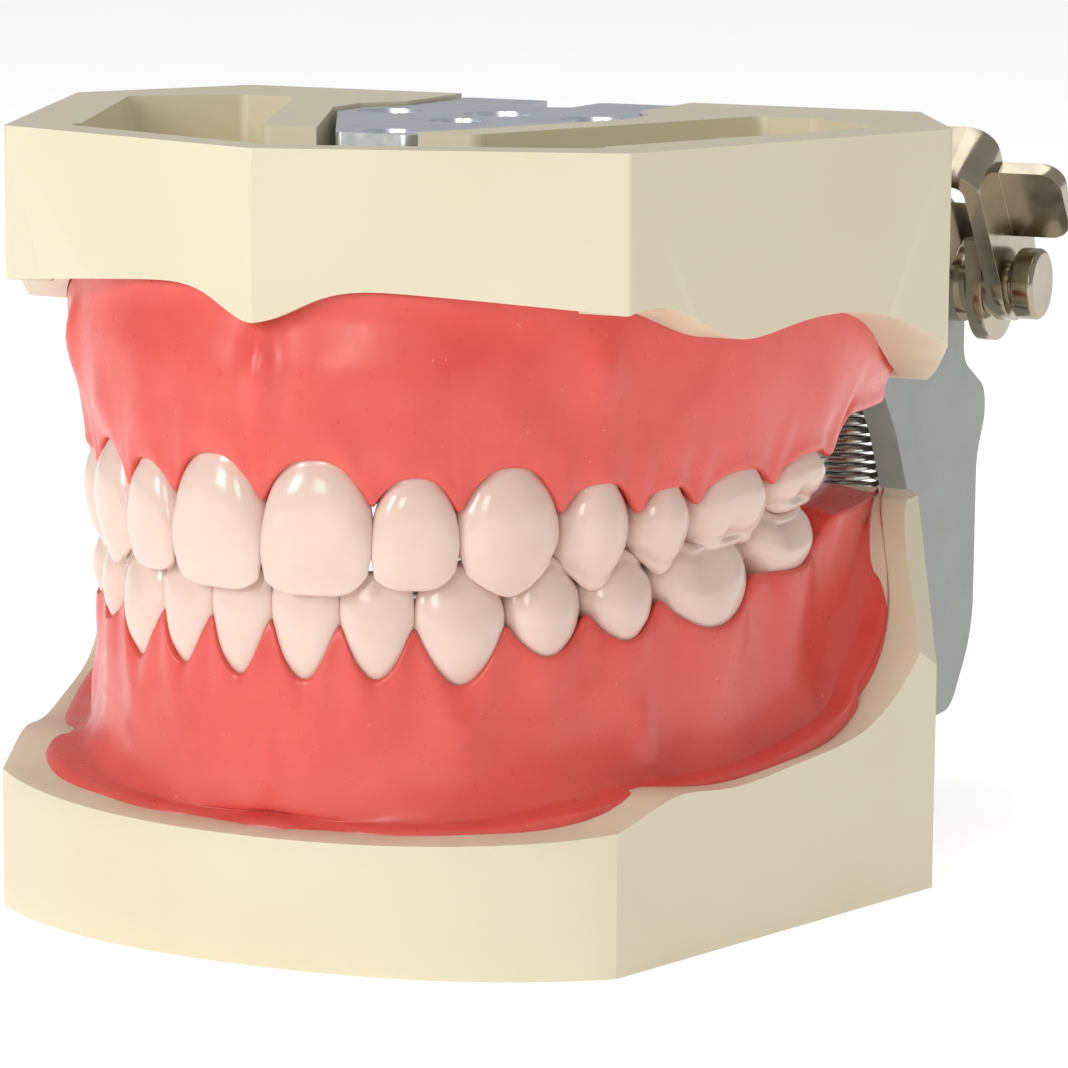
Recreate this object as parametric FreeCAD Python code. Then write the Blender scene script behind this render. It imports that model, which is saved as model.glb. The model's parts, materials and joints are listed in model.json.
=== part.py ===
"""Typodont: a jaw pair with removable teeth on a sprung hinge articulator.

Frame: +Z up, +Y towards the hinge, +X the model's own left side. The origin is on the bench,
under the centre of the bounding box. While the parts are being made, Y is measured from the
front tip of the bases; every part is moved back by half of the total depth at the end.
All sizes are in millimetres.
"""
import FreeCAD, Part
import math
import os
from collections import namedtuple

V = FreeCAD.Vector

# ---- jaw bases (plan outline, half of it; the other half is its mirror image) ----
BASE_LENGTH = 62.6            # front tip to back face
CHEEK_HALF_WIDTH = 41.3       # widest corner
CHEEK_Y = BASE_LENGTH - 16.7
HEEL_HALF_WIDTH = CHEEK_HALF_WIDTH - 8.8
FRONT_CORNER_X = CHEEK_HALF_WIDTH - 13.5
FRONT_CORNER_Y = 10.0
LOWER_CHEEK_HALF_WIDTH = CHEEK_HALF_WIDTH - 1.5
LOWER_CHEEK_Y = BASE_LENGTH - 13.4
LOWER_FRONT_CORNER_Y = 8.8
LOWER_FRONT_BULGE_X = FRONT_CORNER_X - 13.0    # the lower front edge is a shallow arc through here
LOWER_FRONT_BULGE_Y = 1.9
LOWER_RIM_Z = 10.8            # height of the lower base's front wall
MOUTH_HEIGHT = 42.5           # between the two front rims
UPPER_BASE_HEIGHT = 11.7      # height of the upper base's front wall
UPPER_RIM_Z = LOWER_RIM_Z + MOUTH_HEIGHT
TOP_Z = UPPER_RIM_Z + UPPER_BASE_HEIGHT
HEEL_INNER_HALF_WIDTH = HEEL_HALF_WIDTH - 9.0
RAMUS_RISE = 0.499 * MOUTH_HEIGHT        # the lower heels stand this far above the rim
TUBEROSITY_DROP = 0.254 * MOUTH_HEIGHT   # the upper heels hang this far below the rim
RAMUS_TOP_HALF_WIDTH = CHEEK_HALF_WIDTH - 7.3
RAMUS_TOP_Y = BASE_LENGTH - 5.6
RAMUS_BEVEL_RISE = 8.5        # where the slope over the lower cheek starts, above the rim
BUCCAL_FRENUM_Y = 0.342 * BASE_LENGTH
EDGE_ROUND = 0.6

# ---- the rims' waves, mirrored left to right ----
FRENUM_DROP = 1.9             # the upper rim dips at the midline frenum
FRENUM_HALF_WIDTH = 5.0
CREST_X = 0.42 * FRONT_CORNER_X
CREST_RISE = 0.5
CORNER_DROP = 0.9
# Along the sides: distance from the front tip, and how far below or above the front rim.
UPPER_SIDE_RIM = ((FRONT_CORNER_Y, CORNER_DROP), (BUCCAL_FRENUM_Y - 5.0, 1.4),
                  (BUCCAL_FRENUM_Y, 3.6), (BUCCAL_FRENUM_Y + 7.0, 2.9), (CHEEK_Y - 5.0, 3.9),
                  (CHEEK_Y + 4.0, 8.4), (RAMUS_TOP_Y, TUBEROSITY_DROP))
LOWER_SIDE_RIM = ((-1.0, -0.4), (LOWER_FRONT_BULGE_Y, 0.0), (FRONT_CORNER_Y, 1.2),
                  (BUCCAL_FRENUM_Y - 5.0, 2.8), (BUCCAL_FRENUM_Y, 2.4),
                  (BUCCAL_FRENUM_Y + 9.6, 3.0), (CHEEK_Y - 5.0, 4.9), (LOWER_CHEEK_Y, 13.0),
                  (RAMUS_TOP_Y - 2.5, RAMUS_RISE - 1.6), (RAMUS_TOP_Y, RAMUS_RISE))
LOWER_FLOOR_RISE = 0.8        # the tongue side's floor, above the lower rim

# ---- screw trough and the seat of the mounting plate, alike in both bases ----
FRONT_WALL = 3.2
SIDE_WALL = 5.5
BACK_LAND = 11.6
LOWER_TROUGH_DEPTH = LOWER_RIM_Z - 3.3
UPPER_TROUGH_DEPTH = UPPER_BASE_HEIGHT - 4.2
TROUGH_CORNER = 1.2
TROUGH_BACK_SHARE = 0.39      # of the way from the rib to the side wall, along the trough's back
RIB_FRONT_Y = BASE_LENGTH - 42.1
RIB_FRONT_INNER_X = 4.6
RIB_THICKNESS = 5.0
BENCH_HOLE_RADIUS = 2.8
BENCH_HOLE_SPACING = 19.2
BENCH_HOLE_Y = BASE_LENGTH - 18.1
CENTRE_HOLE_RADIUS = 3.0
CENTRE_HOLE_Y = BASE_LENGTH - 16.6
PLATE_WIDE_Y = BASE_LENGTH - 20.6
PLATE_WIDE_HALF_WIDTH = BENCH_HOLE_SPACING / 2 + BENCH_HOLE_RADIUS + 1.0
PLATE_REAR_HALF_WIDTH = BENCH_HOLE_SPACING / 2 + 1.2
PLATE_TAPER = 4.0             # length over which the plate narrows behind the bench holes
PLATE_TONGUE_HALF_WIDTH = 3.2
PLATE_TONGUE_Y = RIB_FRONT_Y + 0.7
PLATE_THICKNESS = 3.0
PLATE_RECESS = 0.35
PLATE_SIDE_GAP = 0.4
PLATE_CORNER = 0.8
PLATE_NOTCH_HALF_WIDTH = 2.5
PLATE_NOTCH_DEPTH = 6.5
PLATE_SCREW_YS = (BASE_LENGTH - 38.0, BASE_LENGTH - 25.0)
PLATE_SCREW_HEAD_RADIUS = 2.3
PLATE_SCREW_HEAD_HEIGHT = 1.5
PLATE_SCREW_SINK = 0.3        # the heads lie this far below the plate's face
PLATE_SCREW_RADIUS = 1.25
PLATE_SCREW_LENGTH = 4.2
HOLE_RELIEF = 0.5             # base holes under the plate are this much larger in radius
HOLE_DEPTH_IN_BASE = 2.6
OVERCUT = 0.1                 # cutting tools start this far outside the face they cut

# ---- dental arches: half ellipses through the outer faces of the teeth ----
Arch = namedtuple("Arch", "half_width depth front_y")
UPPER_ARCH = Arch(CHEEK_HALF_WIDTH - 8.9, BASE_LENGTH - 14.6, 1.3)
LOWER_ARCH = Arch(CHEEK_HALF_WIDTH - 9.7, BASE_LENGTH - 18.6, 3.2)
SIZED_FOR_HALF_WIDTH = 41.3   # the tooth sizes below fit a base of this half width
SIZED_FOR_LENGTH = 62.6       # and this length
TOOTH_SCALE = (CHEEK_HALF_WIDTH / SIZED_FOR_HALF_WIDTH) * (BASE_LENGTH / SIZED_FOR_LENGTH)
Tooth = namedtuple("Tooth", "name form width depth tip_z root_in")


def mouth_z(share):
    """The height at a share of the way from the lower rim up to the upper rim."""
    return LOWER_RIM_Z + share * MOUTH_HEIGHT


def sized(name, form, width, depth, tip, root_in):
    """A tooth: width along the arch, depth across it, tip as a share of the mouth's height,
    and how far inwards of the arch its root ends."""
    return Tooth(name, form, width * TOOTH_SCALE, depth * TOOTH_SCALE, mouth_z(tip),
                 root_in * TOOTH_SCALE)


UPPER_TEETH = (
    sized("central_incisor", "incisor", 9.2, 6.6, 0.4447, 6.4),
    sized("lateral_incisor", "incisor", 7.1, 5.8, 0.4635, 6.4),
    sized("canine", "canine", 8.1, 7.6, 0.4471, 6.2),
    sized("first_premolar", "premolar", 7.0, 8.8, 0.4824, 5.2),
    sized("second_premolar", "premolar", 6.7, 8.8, 0.4965, 5.2),
    sized("first_molar", "molar", 10.0, 10.6, 0.5247, 5.6),
    sized("second_molar", "molar", 9.2, 10.4, 0.5576, 5.6),
)
LOWER_TEETH = (
    sized("central_incisor", "incisor", 5.7, 5.2, 0.4753, 4.2),
    sized("lateral_incisor", "incisor", 5.9, 5.4, 0.4753, 4.2),
    sized("canine", "canine", 7.0, 6.8, 0.48, 4.6),
    sized("first_premolar", "premolar", 7.0, 7.6, 0.4729, 4.6),
    sized("second_premolar", "premolar", 7.1, 8.2, 0.4753, 4.8),
    sized("first_molar", "molar", 11.2, 10.0, 0.4894, 5.2),
    sized("second_molar", "molar", 10.8, 9.8, 0.5176, 5.2),
)
CONTACT_GAP = 0.3             # taken off each crown's width where it meets its neighbours
ROOT_SHARE = 0.4517           # a root's radius, as a share of the narrowest tooth's room at it
ROOT_ROOM = LOWER_TEETH[0].width * (1 - LOWER_TEETH[0].root_in * LOWER_ARCH.depth
                                    / LOWER_ARCH.half_width ** 2)
ROOT_RADIUS = ROOT_SHARE * ROOT_ROOM
ROOT_SWELL = 1.08             # halfway up, the root is this much wider
ROOT_LEAN = 0.6               # and its middle this much nearer the outer face
SCREW_RADIUS = 0.9
SCREW_HEAD_RADIUS = 1.8
SCREW_HEAD_HEIGHT = 1.3
SCREW_GRIP = 5.5              # length of thread inside the root
SCREW_SLOT = 0.5
SCREW_HOLE_GAP = 0.15         # round the shank in the base
SCREW_HEAD_GAP = 0.3          # round the head in the trough, and beyond a screw's tip
GUM_HOLE_GAP = 0.2            # round the shank in the gum
FISSURE_DEPTH = 1.3
FISSURE_OVERCUT = 0.3
FISSURE_SHARE = 0.24          # half the fissure's width, as a share of the tooth's depth

# ---- gingiva ----
GUM_SEAT = 1.2                # how deep the gum sits in the base
GUM_REAR_Y = BASE_LENGTH - 7.6
UPPER_GUM_EDGE_Z = mouth_z(0.6682)
LOWER_GUM_EDGE_Z = mouth_z(0.3247)
PALATE_THICKNESS = 3.4
GUM_FRONT_INSET = 2.4         # from the base's front tip to the gum at its seat
GUM_SIDE_INSET = 4.6          # from the cheek corner to the gum at its seat
GUM_BODY_INNER = 9.5          # how far the gum reaches inwards from the arch
GUM_EDGE_OUTER = 0.6
GUM_EDGE_INNER = 8.6
GUM_SWELL = 0.8               # how far the gum bulges a third of the way up

# ---- articulator ----
HINGE_Y = BASE_LENGTH + 21.3
HINGE_Z = UPPER_RIM_Z - 5.1
SHAFT_RADIUS = 2.0
RUNNING_CLEARANCE = 0.05
ARM_THICKNESS = 2.6
ARM_INNER_X = 24.4
ARM_REAR_Y = HINGE_Y + 14.0   # rearmost point of the whole model
ARM_HEAD_RADIUS = 7.6
ARM_FOOT_FRONT_Y = HINGE_Y - 15.9
ARM_FOOT_REAR_Y = HINGE_Y + 0.1
ARM_WAIST_SHARE = 0.46        # height of the arm's narrowest place, as a share of the hinge's
BEND_RADIUS = 1.2             # inside radius of folded sheet
SPACER_RADIUS = SHAFT_RADIUS + 1.75
SPACER_LENGTH = 2.7
WASHER_RADIUS = SHAFT_RADIUS + 1.0
WASHER_THICKNESS = 0.84
WASHER_GAP = 0.06
SHEET = 1.5                   # bracket and yoke sheet
LUG_INNER_X = ARM_INNER_X + ARM_THICKNESS + SPACER_LENGTH + WASHER_THICKNESS + WASHER_GAP
LUG_RADIUS = SHAFT_RADIUS + 3.2
LUG_SETBACK = 2.3             # lug centre behind the hinge axis
BRACKET_BOTTOM_Z = UPPER_RIM_Z - 2.8
BRACKET_TOP_Z = TOP_Z - 3.8
FINGER_WIDTH = 5.0
YOKE_INNER_X = LUG_INNER_X + SHEET + 0.7
YOKE_TILT = 37.0              # degrees, leaning forwards
YOKE_REACH = 15.5             # hinge axis to the top of the yoke
YOKE_FRONT = 3.0              # strap edge in front of the axis
YOKE_REAR = 3.5
YOKE_BEND = 2.6
YOKE_EYE_RADIUS = SHAFT_RADIUS + 3.0
YOKE_EYE_SETBACK = 1.4        # eye centre behind the strap's middle
YOKE_EYE_RISE = 0.6
TAB_LENGTH = 7.6
TAB_START = 3.9
TAB_OUTER_X = YOKE_INNER_X + 7.1
TAB_CORNER = 2.0
PIN_HEAD_RADIUS = SHAFT_RADIUS + 1.25
PIN_HEAD_INNER_X = YOKE_INNER_X + SHEET + 0.5
PIN_HEAD_LENGTH = 2.2
PIN_HEAD_ROUND = 0.45
CAP_BORE_DEPTH = 1.2
PAN_SCREW_RADIUS = 1.25
PAN_HEAD_RADIUS = 2.2
PAN_HEAD_HEIGHT = 1.5
BRACKET_SCREW_XS = (LUG_INNER_X - 15.6, LUG_INNER_X - 4.1)
BRACKET_SCREW_Z = BRACKET_TOP_Z - 4.0
BRACKET_SCREW_LENGTH = 7.0
SPRING_OUTER_RADIUS = 3.1
SPRING_X = ARM_INNER_X - SPRING_OUTER_RADIUS - 0.3
SPRING_Y = HINGE_Y - 6.0
SPRING_WIRE = 0.85
ARM_FOOT_TOP_Z = PLATE_RECESS + PLATE_THICKNESS + ARM_THICKNESS
SPRING_BOTTOM_Z = ARM_FOOT_TOP_Z + 1.25
SPRING_TOP_Z = BRACKET_BOTTOM_Z - 1.2
FOOT_SCREW_X = SPRING_X - SPRING_OUTER_RADIUS - PAN_HEAD_RADIUS - 0.1
FOOT_SCREW_YS = (HINGE_Y - 12.4, HINGE_Y - 2.9)
ARM_FOOT_INNER_X = FOOT_SCREW_X - 2.6
STUD_CLEARANCE = 0.1
STUD_LENGTH = 7.0


# ---- general shape helpers ----

def mirrored(shape):
    """The shape's mirror image in the plane X = 0."""
    return shape.mirror(V(0, 0, 0), V(1, 0, 0))


def polygon_face(points):
    return Part.Face(Part.makePolygon(points + [points[0]]))


def plan_prism(points, z_low, z_high):
    """A prism over an XY outline."""
    face = polygon_face([V(x, y, z_low) for x, y in points])
    return face.extrude(V(0, 0, z_high - z_low))


def side_prism(points, x_low, x_high):
    """A prism over a YZ outline, running along X."""
    face = polygon_face([V(x_low, y, z) for y, z in points])
    return face.extrude(V(x_high - x_low, 0, 0))


def rounded_wire(corners, place):
    """A closed outline with rounded corners.

    Each corner is two coordinates and a radius; place(a, b) turns the coordinates into a point.
    """
    edges = []
    ends = []
    for index, (a, b, radius) in enumerate(corners):
        before = corners[index - 1]
        after = corners[(index + 1) % len(corners)]
        corner = V(a, b, 0)
        to_before = (V(before[0], before[1], 0) - corner).normalize()
        to_after = (V(after[0], after[1], 0) - corner).normalize()
        if radius == 0:
            ends.append((corner, corner))
            continue
        half_angle = to_before.getAngle(to_after) / 2
        setback = radius / math.tan(half_angle)
        middle = (to_before + to_after).normalize()
        arc_middle = corner + middle * (radius / math.sin(half_angle) - radius)
        start, end = corner + to_before * setback, corner + to_after * setback
        arc = Part.Arc(*[place(point.x, point.y) for point in (start, arc_middle, end)])
        edges.append(arc.toShape())
        ends.append((start, end))
    for index, (start, _) in enumerate(ends):
        previous_end = ends[index - 1][1]
        if previous_end.distanceToPoint(start) > 1e-6:
            edges.append(Part.makeLine(place(previous_end.x, previous_end.y),
                                       place(start.x, start.y)))
    return Part.Wire(Part.__sortEdges__(edges))


def smooth_side_face(x, runs):
    """A YZ face whose edge is a chain of runs: two points make a line, more make a curve."""
    edges = []
    for run in runs:
        points = [V(x, y, z) for y, z in run]
        if len(points) == 2:
            edges.append(Part.makeLine(points[0], points[1]))
        else:
            curve = Part.BSplineCurve()
            curve.interpolate(points)
            edges.append(curve.toShape())
    return Part.Face(Part.Wire(edges))


def rod_x(radius, x_low, x_high, y, z):
    return Part.makeCylinder(radius, x_high - x_low, V(x_low, y, z), V(1, 0, 0))


def rod_z(radius, z_low, z_high, x, y):
    return Part.makeCylinder(radius, z_high - z_low, V(x, y, z_low), V(0, 0, 1))


def block(x_low, x_high, y_low, y_high, z_low, z_high):
    return Part.makeBox(x_high - x_low, y_high - y_low, z_high - z_low, V(x_low, y_low, z_low))


def symmetric_outline(half):
    """Closes a half outline, given from the midline round to the midline, with its mirror image."""
    back = [(-x, y) for x, y in reversed(half) if x > 0]
    return half + back


def rounded(shape, chosen, radius):
    """Rounds the edges that chosen(edge) picks."""
    edges = [edge for edge in shape.Edges if chosen(edge)]
    return shape.makeFillet(radius, edges)


def is_vertical(edge):
    box = edge.BoundBox
    return box.XLength < 1e-6 and box.YLength < 1e-6


# ---- arches ----

def arch_point(arch, distance):
    """Point and tangent on the arch at a walked distance from the midline, on the +X side."""
    step = 0.002
    angle = 0.0
    walked = 0.0
    while walked < distance:
        walked += step * math.hypot(arch.half_width * math.cos(angle), arch.depth * math.sin(angle))
        angle += step
    x = arch.half_width * math.sin(angle)
    y = arch.front_y + arch.depth * (1 - math.cos(angle))
    along = V(arch.half_width * math.cos(angle), arch.depth * math.sin(angle), 0)
    return V(x, y, 0), along.normalize()


def tooth_place(arch, teeth, index):
    """Middle of a tooth's outer face, the direction along the arch and the inward direction."""
    distance = sum(tooth.width for tooth in teeth[:index]) + teeth[index].width / 2
    point, along = arch_point(arch, distance)
    inward = V(-along.y, along.x, 0)
    return point, along, inward


def arch_curve(arch, z, rear_y):
    """The arch as one curve from the rear right, round the front, to the rear left."""
    turn = math.acos(1 - (rear_y - arch.front_y) / arch.depth)
    count = 12
    points = []
    for k in range(-count, count + 1):
        angle = turn * k / count
        x = arch.half_width * math.sin(angle)
        y = arch.front_y + arch.depth * (1 - math.cos(angle))
        points.append(V(x, y, z))
    curve = Part.BSplineCurve()
    curve.interpolate(points)
    return curve.toShape(), points[0], points[-1]


def horseshoe(outer, inner, z):
    """A closed horseshoe wire between two arches, cut off at the back of the gum."""
    outer_edge, outer_right, outer_left = arch_curve(outer, z, GUM_REAR_Y)
    inner_edge, inner_right, inner_left = arch_curve(inner, z, GUM_REAR_Y)
    left_end = Part.makeLine(outer_left, inner_left)
    right_end = Part.makeLine(inner_right, outer_right)
    return Part.Wire([outer_edge, left_end, inner_edge, right_end])


def offset_arch(arch, outwards):
    return Arch(arch.half_width + outwards, arch.depth + outwards, arch.front_y - outwards)


# ---- jaw bases ----

def upper_outline():
    half = [(0, 0), (FRONT_CORNER_X, FRONT_CORNER_Y), (CHEEK_HALF_WIDTH, CHEEK_Y),
            (HEEL_HALF_WIDTH, BASE_LENGTH), (0, BASE_LENGTH)]
    return symmetric_outline(half)


def lower_prism(z_low, z_high):
    """The lower base's plan shape, whose front edge is an arc between the two front corners."""
    corner = (FRONT_CORNER_X, LOWER_FRONT_CORNER_Y)
    front = [V(-corner[0], corner[1], z_low), V(-LOWER_FRONT_BULGE_X, LOWER_FRONT_BULGE_Y, z_low),
             V(0, 0, z_low), V(LOWER_FRONT_BULGE_X, LOWER_FRONT_BULGE_Y, z_low),
             V(corner[0], corner[1], z_low)]
    curve = Part.BSplineCurve()
    curve.interpolate(front)
    rest = [front[-1], V(LOWER_CHEEK_HALF_WIDTH, LOWER_CHEEK_Y, z_low),
            V(HEEL_HALF_WIDTH, BASE_LENGTH, z_low), V(-HEEL_HALF_WIDTH, BASE_LENGTH, z_low),
            V(-LOWER_CHEEK_HALF_WIDTH, LOWER_CHEEK_Y, z_low), front[0]]
    face = Part.Face(Part.Wire([curve.toShape()] + Part.makePolygon(rest).Edges))
    return face.extrude(V(0, 0, z_high - z_low))


def trough_outline():
    """The horseshoe trough behind the walls, round the fronts of the two ribs."""
    side_slope = (CHEEK_HALF_WIDTH - FRONT_CORNER_X) / (CHEEK_Y - FRONT_CORNER_Y)
    back_y = BASE_LENGTH - BACK_LAND
    corner_y = FRONT_CORNER_Y + FRONT_WALL
    outer_back_y = CHEEK_Y - 1.5
    outer_back_x = FRONT_CORNER_X + side_slope * (outer_back_y - FRONT_CORNER_Y) - SIDE_WALL
    rib_slope = (PLATE_WIDE_HALF_WIDTH - RIB_FRONT_INNER_X) / (PLATE_WIDE_Y - RIB_FRONT_Y)
    rib_back_x = RIB_FRONT_INNER_X + RIB_THICKNESS + rib_slope * (back_y - RIB_FRONT_Y)
    back_corner_x = rib_back_x + TROUGH_BACK_SHARE * (outer_back_x - rib_back_x)
    half = [(0, FRONT_WALL + 0.4), (FRONT_CORNER_X - SIDE_WALL * 0.75, corner_y),
            (FRONT_CORNER_X + side_slope * FRONT_WALL - SIDE_WALL, corner_y + 2.0),
            (outer_back_x, outer_back_y), (back_corner_x, back_y), (rib_back_x, back_y),
            (RIB_FRONT_INNER_X + RIB_THICKNESS, RIB_FRONT_Y), (0, RIB_FRONT_Y)]
    return symmetric_outline(half)


def plate_seat_outline(gap):
    """The space for the mounting plate between the ribs, open at the back."""
    half = [(0, RIB_FRONT_Y - 1.0), (RIB_FRONT_INNER_X, RIB_FRONT_Y - 1.0),
            (RIB_FRONT_INNER_X, RIB_FRONT_Y),
            (PLATE_WIDE_HALF_WIDTH + gap, PLATE_WIDE_Y),
            (PLATE_WIDE_HALF_WIDTH + gap, BENCH_HOLE_Y + BENCH_HOLE_RADIUS),
            (PLATE_REAR_HALF_WIDTH + gap, BENCH_HOLE_Y + BENCH_HOLE_RADIUS + PLATE_TAPER),
            (PLATE_REAR_HALF_WIDTH + gap, BASE_LENGTH + 1.0), (0, BASE_LENGTH + 1.0)]
    return symmetric_outline(half)


def cut_screw_side(base, face_z, inwards, trough_depth):
    """Cuts the trough, the plate's seat and its holes into the flat face at face_z.

    inwards is +1 where the base lies above that face and -1 where it lies below.
    """
    def span(near, far):
        heights = sorted((face_z + inwards * near, face_z + inwards * far))
        return heights[0], heights[1]

    trough = plan_prism(trough_outline(), *span(-OVERCUT, trough_depth))
    trough = rounded(trough, is_vertical, TROUGH_CORNER)
    base = base.cut(trough)
    seat_depth = PLATE_RECESS + PLATE_THICKNESS
    base = base.cut(plan_prism(plate_seat_outline(PLATE_SIDE_GAP), *span(-OVERCUT, seat_depth)))
    hole_span = span(seat_depth - OVERCUT, seat_depth + HOLE_DEPTH_IN_BASE)
    for x in (-BENCH_HOLE_SPACING / 2, BENCH_HOLE_SPACING / 2):
        base = base.cut(rod_z(BENCH_HOLE_RADIUS + HOLE_RELIEF, *hole_span, x, BENCH_HOLE_Y))
    base = base.cut(rod_z(CENTRE_HOLE_RADIUS + HOLE_RELIEF, *hole_span, 0, CENTRE_HOLE_Y))
    screw_end = seat_depth + PLATE_SCREW_LENGTH
    for y in PLATE_SCREW_YS:
        base = base.cut(rod_z(PLATE_SCREW_RADIUS, *span(seat_depth - OVERCUT, screw_end), 0, y))
    return base


def cut_tooth_screw_holes(base, screws, face_z, floor_z, seat_z):
    """A hole from the trough's floor to the gum's seat for each screw, and room for its head."""
    for place in screws:
        base = base.cut([
            rod_z(SCREW_RADIUS + SCREW_HOLE_GAP, min(face_z, seat_z), max(face_z, seat_z),
                  place.x, place.y),
            rod_z(SCREW_HEAD_RADIUS + SCREW_HEAD_GAP, min(face_z, floor_z), max(face_z, floor_z),
                  place.x, place.y)])
    return base


def upper_underside_cutter():
    """Everything below the upper base's wavy rim."""
    deep = UPPER_RIM_Z - TUBEROSITY_DROP - 10
    far = CHEEK_HALF_WIDTH + 5
    corner_z = UPPER_RIM_Z - CORNER_DROP
    half = [(FRENUM_HALF_WIDTH, UPPER_RIM_Z), (CREST_X, UPPER_RIM_Z + CREST_RISE),
            (FRONT_CORNER_X, corner_z), (far, corner_z)]
    wave = [(-x, z) for x, z in reversed(half)] + [(0, UPPER_RIM_Z - FRENUM_DROP)] + half
    curve = Part.BSplineCurve()
    curve.interpolate([V(x, -1, z) for x, z in wave])
    down = Part.makePolygon([V(far, -1, corner_z), V(far, -1, deep), V(-far, -1, deep),
                             V(-far, -1, corner_z)])
    wave_face = Part.Face(Part.Wire([curve.toShape()] + down.Edges))
    front = wave_face.extrude(V(0, FRONT_CORNER_Y + 1, 0))
    middle = wave_face.extrude(V(0, BASE_LENGTH + 2, 0)).common(
        block(-HEEL_INNER_HALF_WIDTH, HEEL_INNER_HALF_WIDTH, 0, BASE_LENGTH + 1, deep, TOP_Z))
    heel_z = UPPER_RIM_Z - TUBEROSITY_DROP
    rim = [(y, UPPER_RIM_Z - drop) for y, drop in UPPER_SIDE_RIM]
    side = smooth_side_face(-far, [
        rim + [(BASE_LENGTH + 1, heel_z)],
        [(BASE_LENGTH + 1, heel_z), (BASE_LENGTH + 1, deep)],
        [(BASE_LENGTH + 1, deep), (FRONT_CORNER_Y, deep)],
        [(FRONT_CORNER_Y, deep), rim[0]]]).extrude(V(2 * far, 0, 0))
    return front.fuse([side, middle])


def upper_jaw_base(gum, screws):
    base = plan_prism(upper_outline(), UPPER_RIM_Z - TUBEROSITY_DROP, TOP_Z)
    base = rounded(base, is_vertical, EDGE_ROUND)
    base = base.cut(upper_underside_cutter())
    base = base.cut(gum)
    base = cut_screw_side(base, TOP_Z, -1, UPPER_TROUGH_DEPTH)
    base = cut_tooth_screw_holes(base, screws, TOP_Z, TOP_Z - UPPER_TROUGH_DEPTH, UPPER_RIM_Z)
    for x in signed(BRACKET_SCREW_XS):
        base = base.cut(Part.makeCylinder(PAN_SCREW_RADIUS, BRACKET_SCREW_LENGTH,
                                          V(x, BASE_LENGTH, BRACKET_SCREW_Z), V(0, -1, 0)))
    return base


def lower_top_cutter():
    """Everything above the lower base's rim, ramps and heels."""
    high = LOWER_RIM_Z + RAMUS_RISE + 10
    far = CHEEK_HALF_WIDTH + 5
    top_z = LOWER_RIM_Z + RAMUS_RISE
    rim = [(y, LOWER_RIM_Z + rise) for y, rise in LOWER_SIDE_RIM]
    front_y = rim[0][0]
    side = smooth_side_face(-far, [
        rim + [(BASE_LENGTH + 1, top_z)],
        [(BASE_LENGTH + 1, top_z), (BASE_LENGTH + 1, high)],
        [(BASE_LENGTH + 1, high), (front_y, high)],
        [(front_y, high), rim[0]]]).extrude(V(2 * far, 0, 0))
    middle = block(-HEEL_INNER_HALF_WIDTH, HEEL_INNER_HALF_WIDTH, FRONT_CORNER_Y, BASE_LENGTH + 1,
                   LOWER_RIM_Z + LOWER_FLOOR_RISE, high)
    return side.fuse(middle)


def cheek_bevel():
    """The slope from the lower cheek corner up to the top of the heel, on the +X side."""
    cheek_z = LOWER_RIM_Z + RAMUS_BEVEL_RISE
    top_z = LOWER_RIM_Z + RAMUS_RISE
    run = LOWER_CHEEK_HALF_WIDTH - RAMUS_TOP_HALF_WIDTH
    rise = top_z - cheek_z
    outer = [(LOWER_CHEEK_HALF_WIDTH + run, cheek_z - rise),
             (RAMUS_TOP_HALF_WIDTH - run, top_z + rise), (CHEEK_HALF_WIDTH + 20, top_z + rise)]
    face = polygon_face([V(x, BUCCAL_FRENUM_Y, z) for x, z in outer])
    return face.extrude(V(0, BASE_LENGTH, 0))


def lower_jaw_base(gum, screws):
    base = lower_prism(0, LOWER_RIM_Z + RAMUS_RISE)
    base = base.cut(lower_top_cutter())
    bevel = cheek_bevel()
    base = base.cut([bevel, mirrored(bevel)])
    base = base.cut(gum)
    base = cut_screw_side(base, 0, 1, LOWER_TROUGH_DEPTH)
    return cut_tooth_screw_holes(base, screws, 0, LOWER_TROUGH_DEPTH, LOWER_RIM_Z)


# ---- gingiva ----

def gum_seat_arch():
    half_width = CHEEK_HALF_WIDTH - GUM_SIDE_INSET
    return Arch(half_width, BASE_LENGTH - BACK_LAND, GUM_FRONT_INSET)


def gum_block(arch, seat_z, edge_z):
    """The whole gum before the teeth are let in: a lofted horseshoe from its seat to its edge."""
    inner = offset_arch(arch, -GUM_BODY_INNER)
    edge_outer = offset_arch(arch, GUM_EDGE_OUTER)
    edge_inner = offset_arch(arch, -GUM_EDGE_INNER)
    seat_outer = gum_seat_arch()
    middle_z = (2 * seat_z + edge_z) / 3
    middle_outer = Arch((seat_outer.half_width + edge_outer.half_width) / 2 + GUM_SWELL,
                        (seat_outer.depth + edge_outer.depth) / 2,
                        (seat_outer.front_y + edge_outer.front_y) / 2)
    wires = [horseshoe(seat_outer, inner, seat_z), horseshoe(middle_outer, inner, middle_z),
             horseshoe(edge_outer, edge_inner, edge_z)]
    return Part.makeLoft(wires, True, False)


def upper_gum_block():
    seat_z = UPPER_RIM_Z + GUM_SEAT
    gum = gum_block(UPPER_ARCH, seat_z, UPPER_GUM_EDGE_Z)
    rim, right, left = arch_curve(offset_arch(UPPER_ARCH, -GUM_BODY_INNER), seat_z, GUM_REAR_Y)
    palate = Part.Face(Part.Wire([rim, Part.makeLine(left, right)]))
    return gum.fuse(palate.extrude(V(0, 0, -PALATE_THICKNESS))).removeSplitter()


def lower_gum_block():
    return gum_block(LOWER_ARCH, LOWER_RIM_Z - GUM_SEAT, LOWER_GUM_EDGE_Z)


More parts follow.
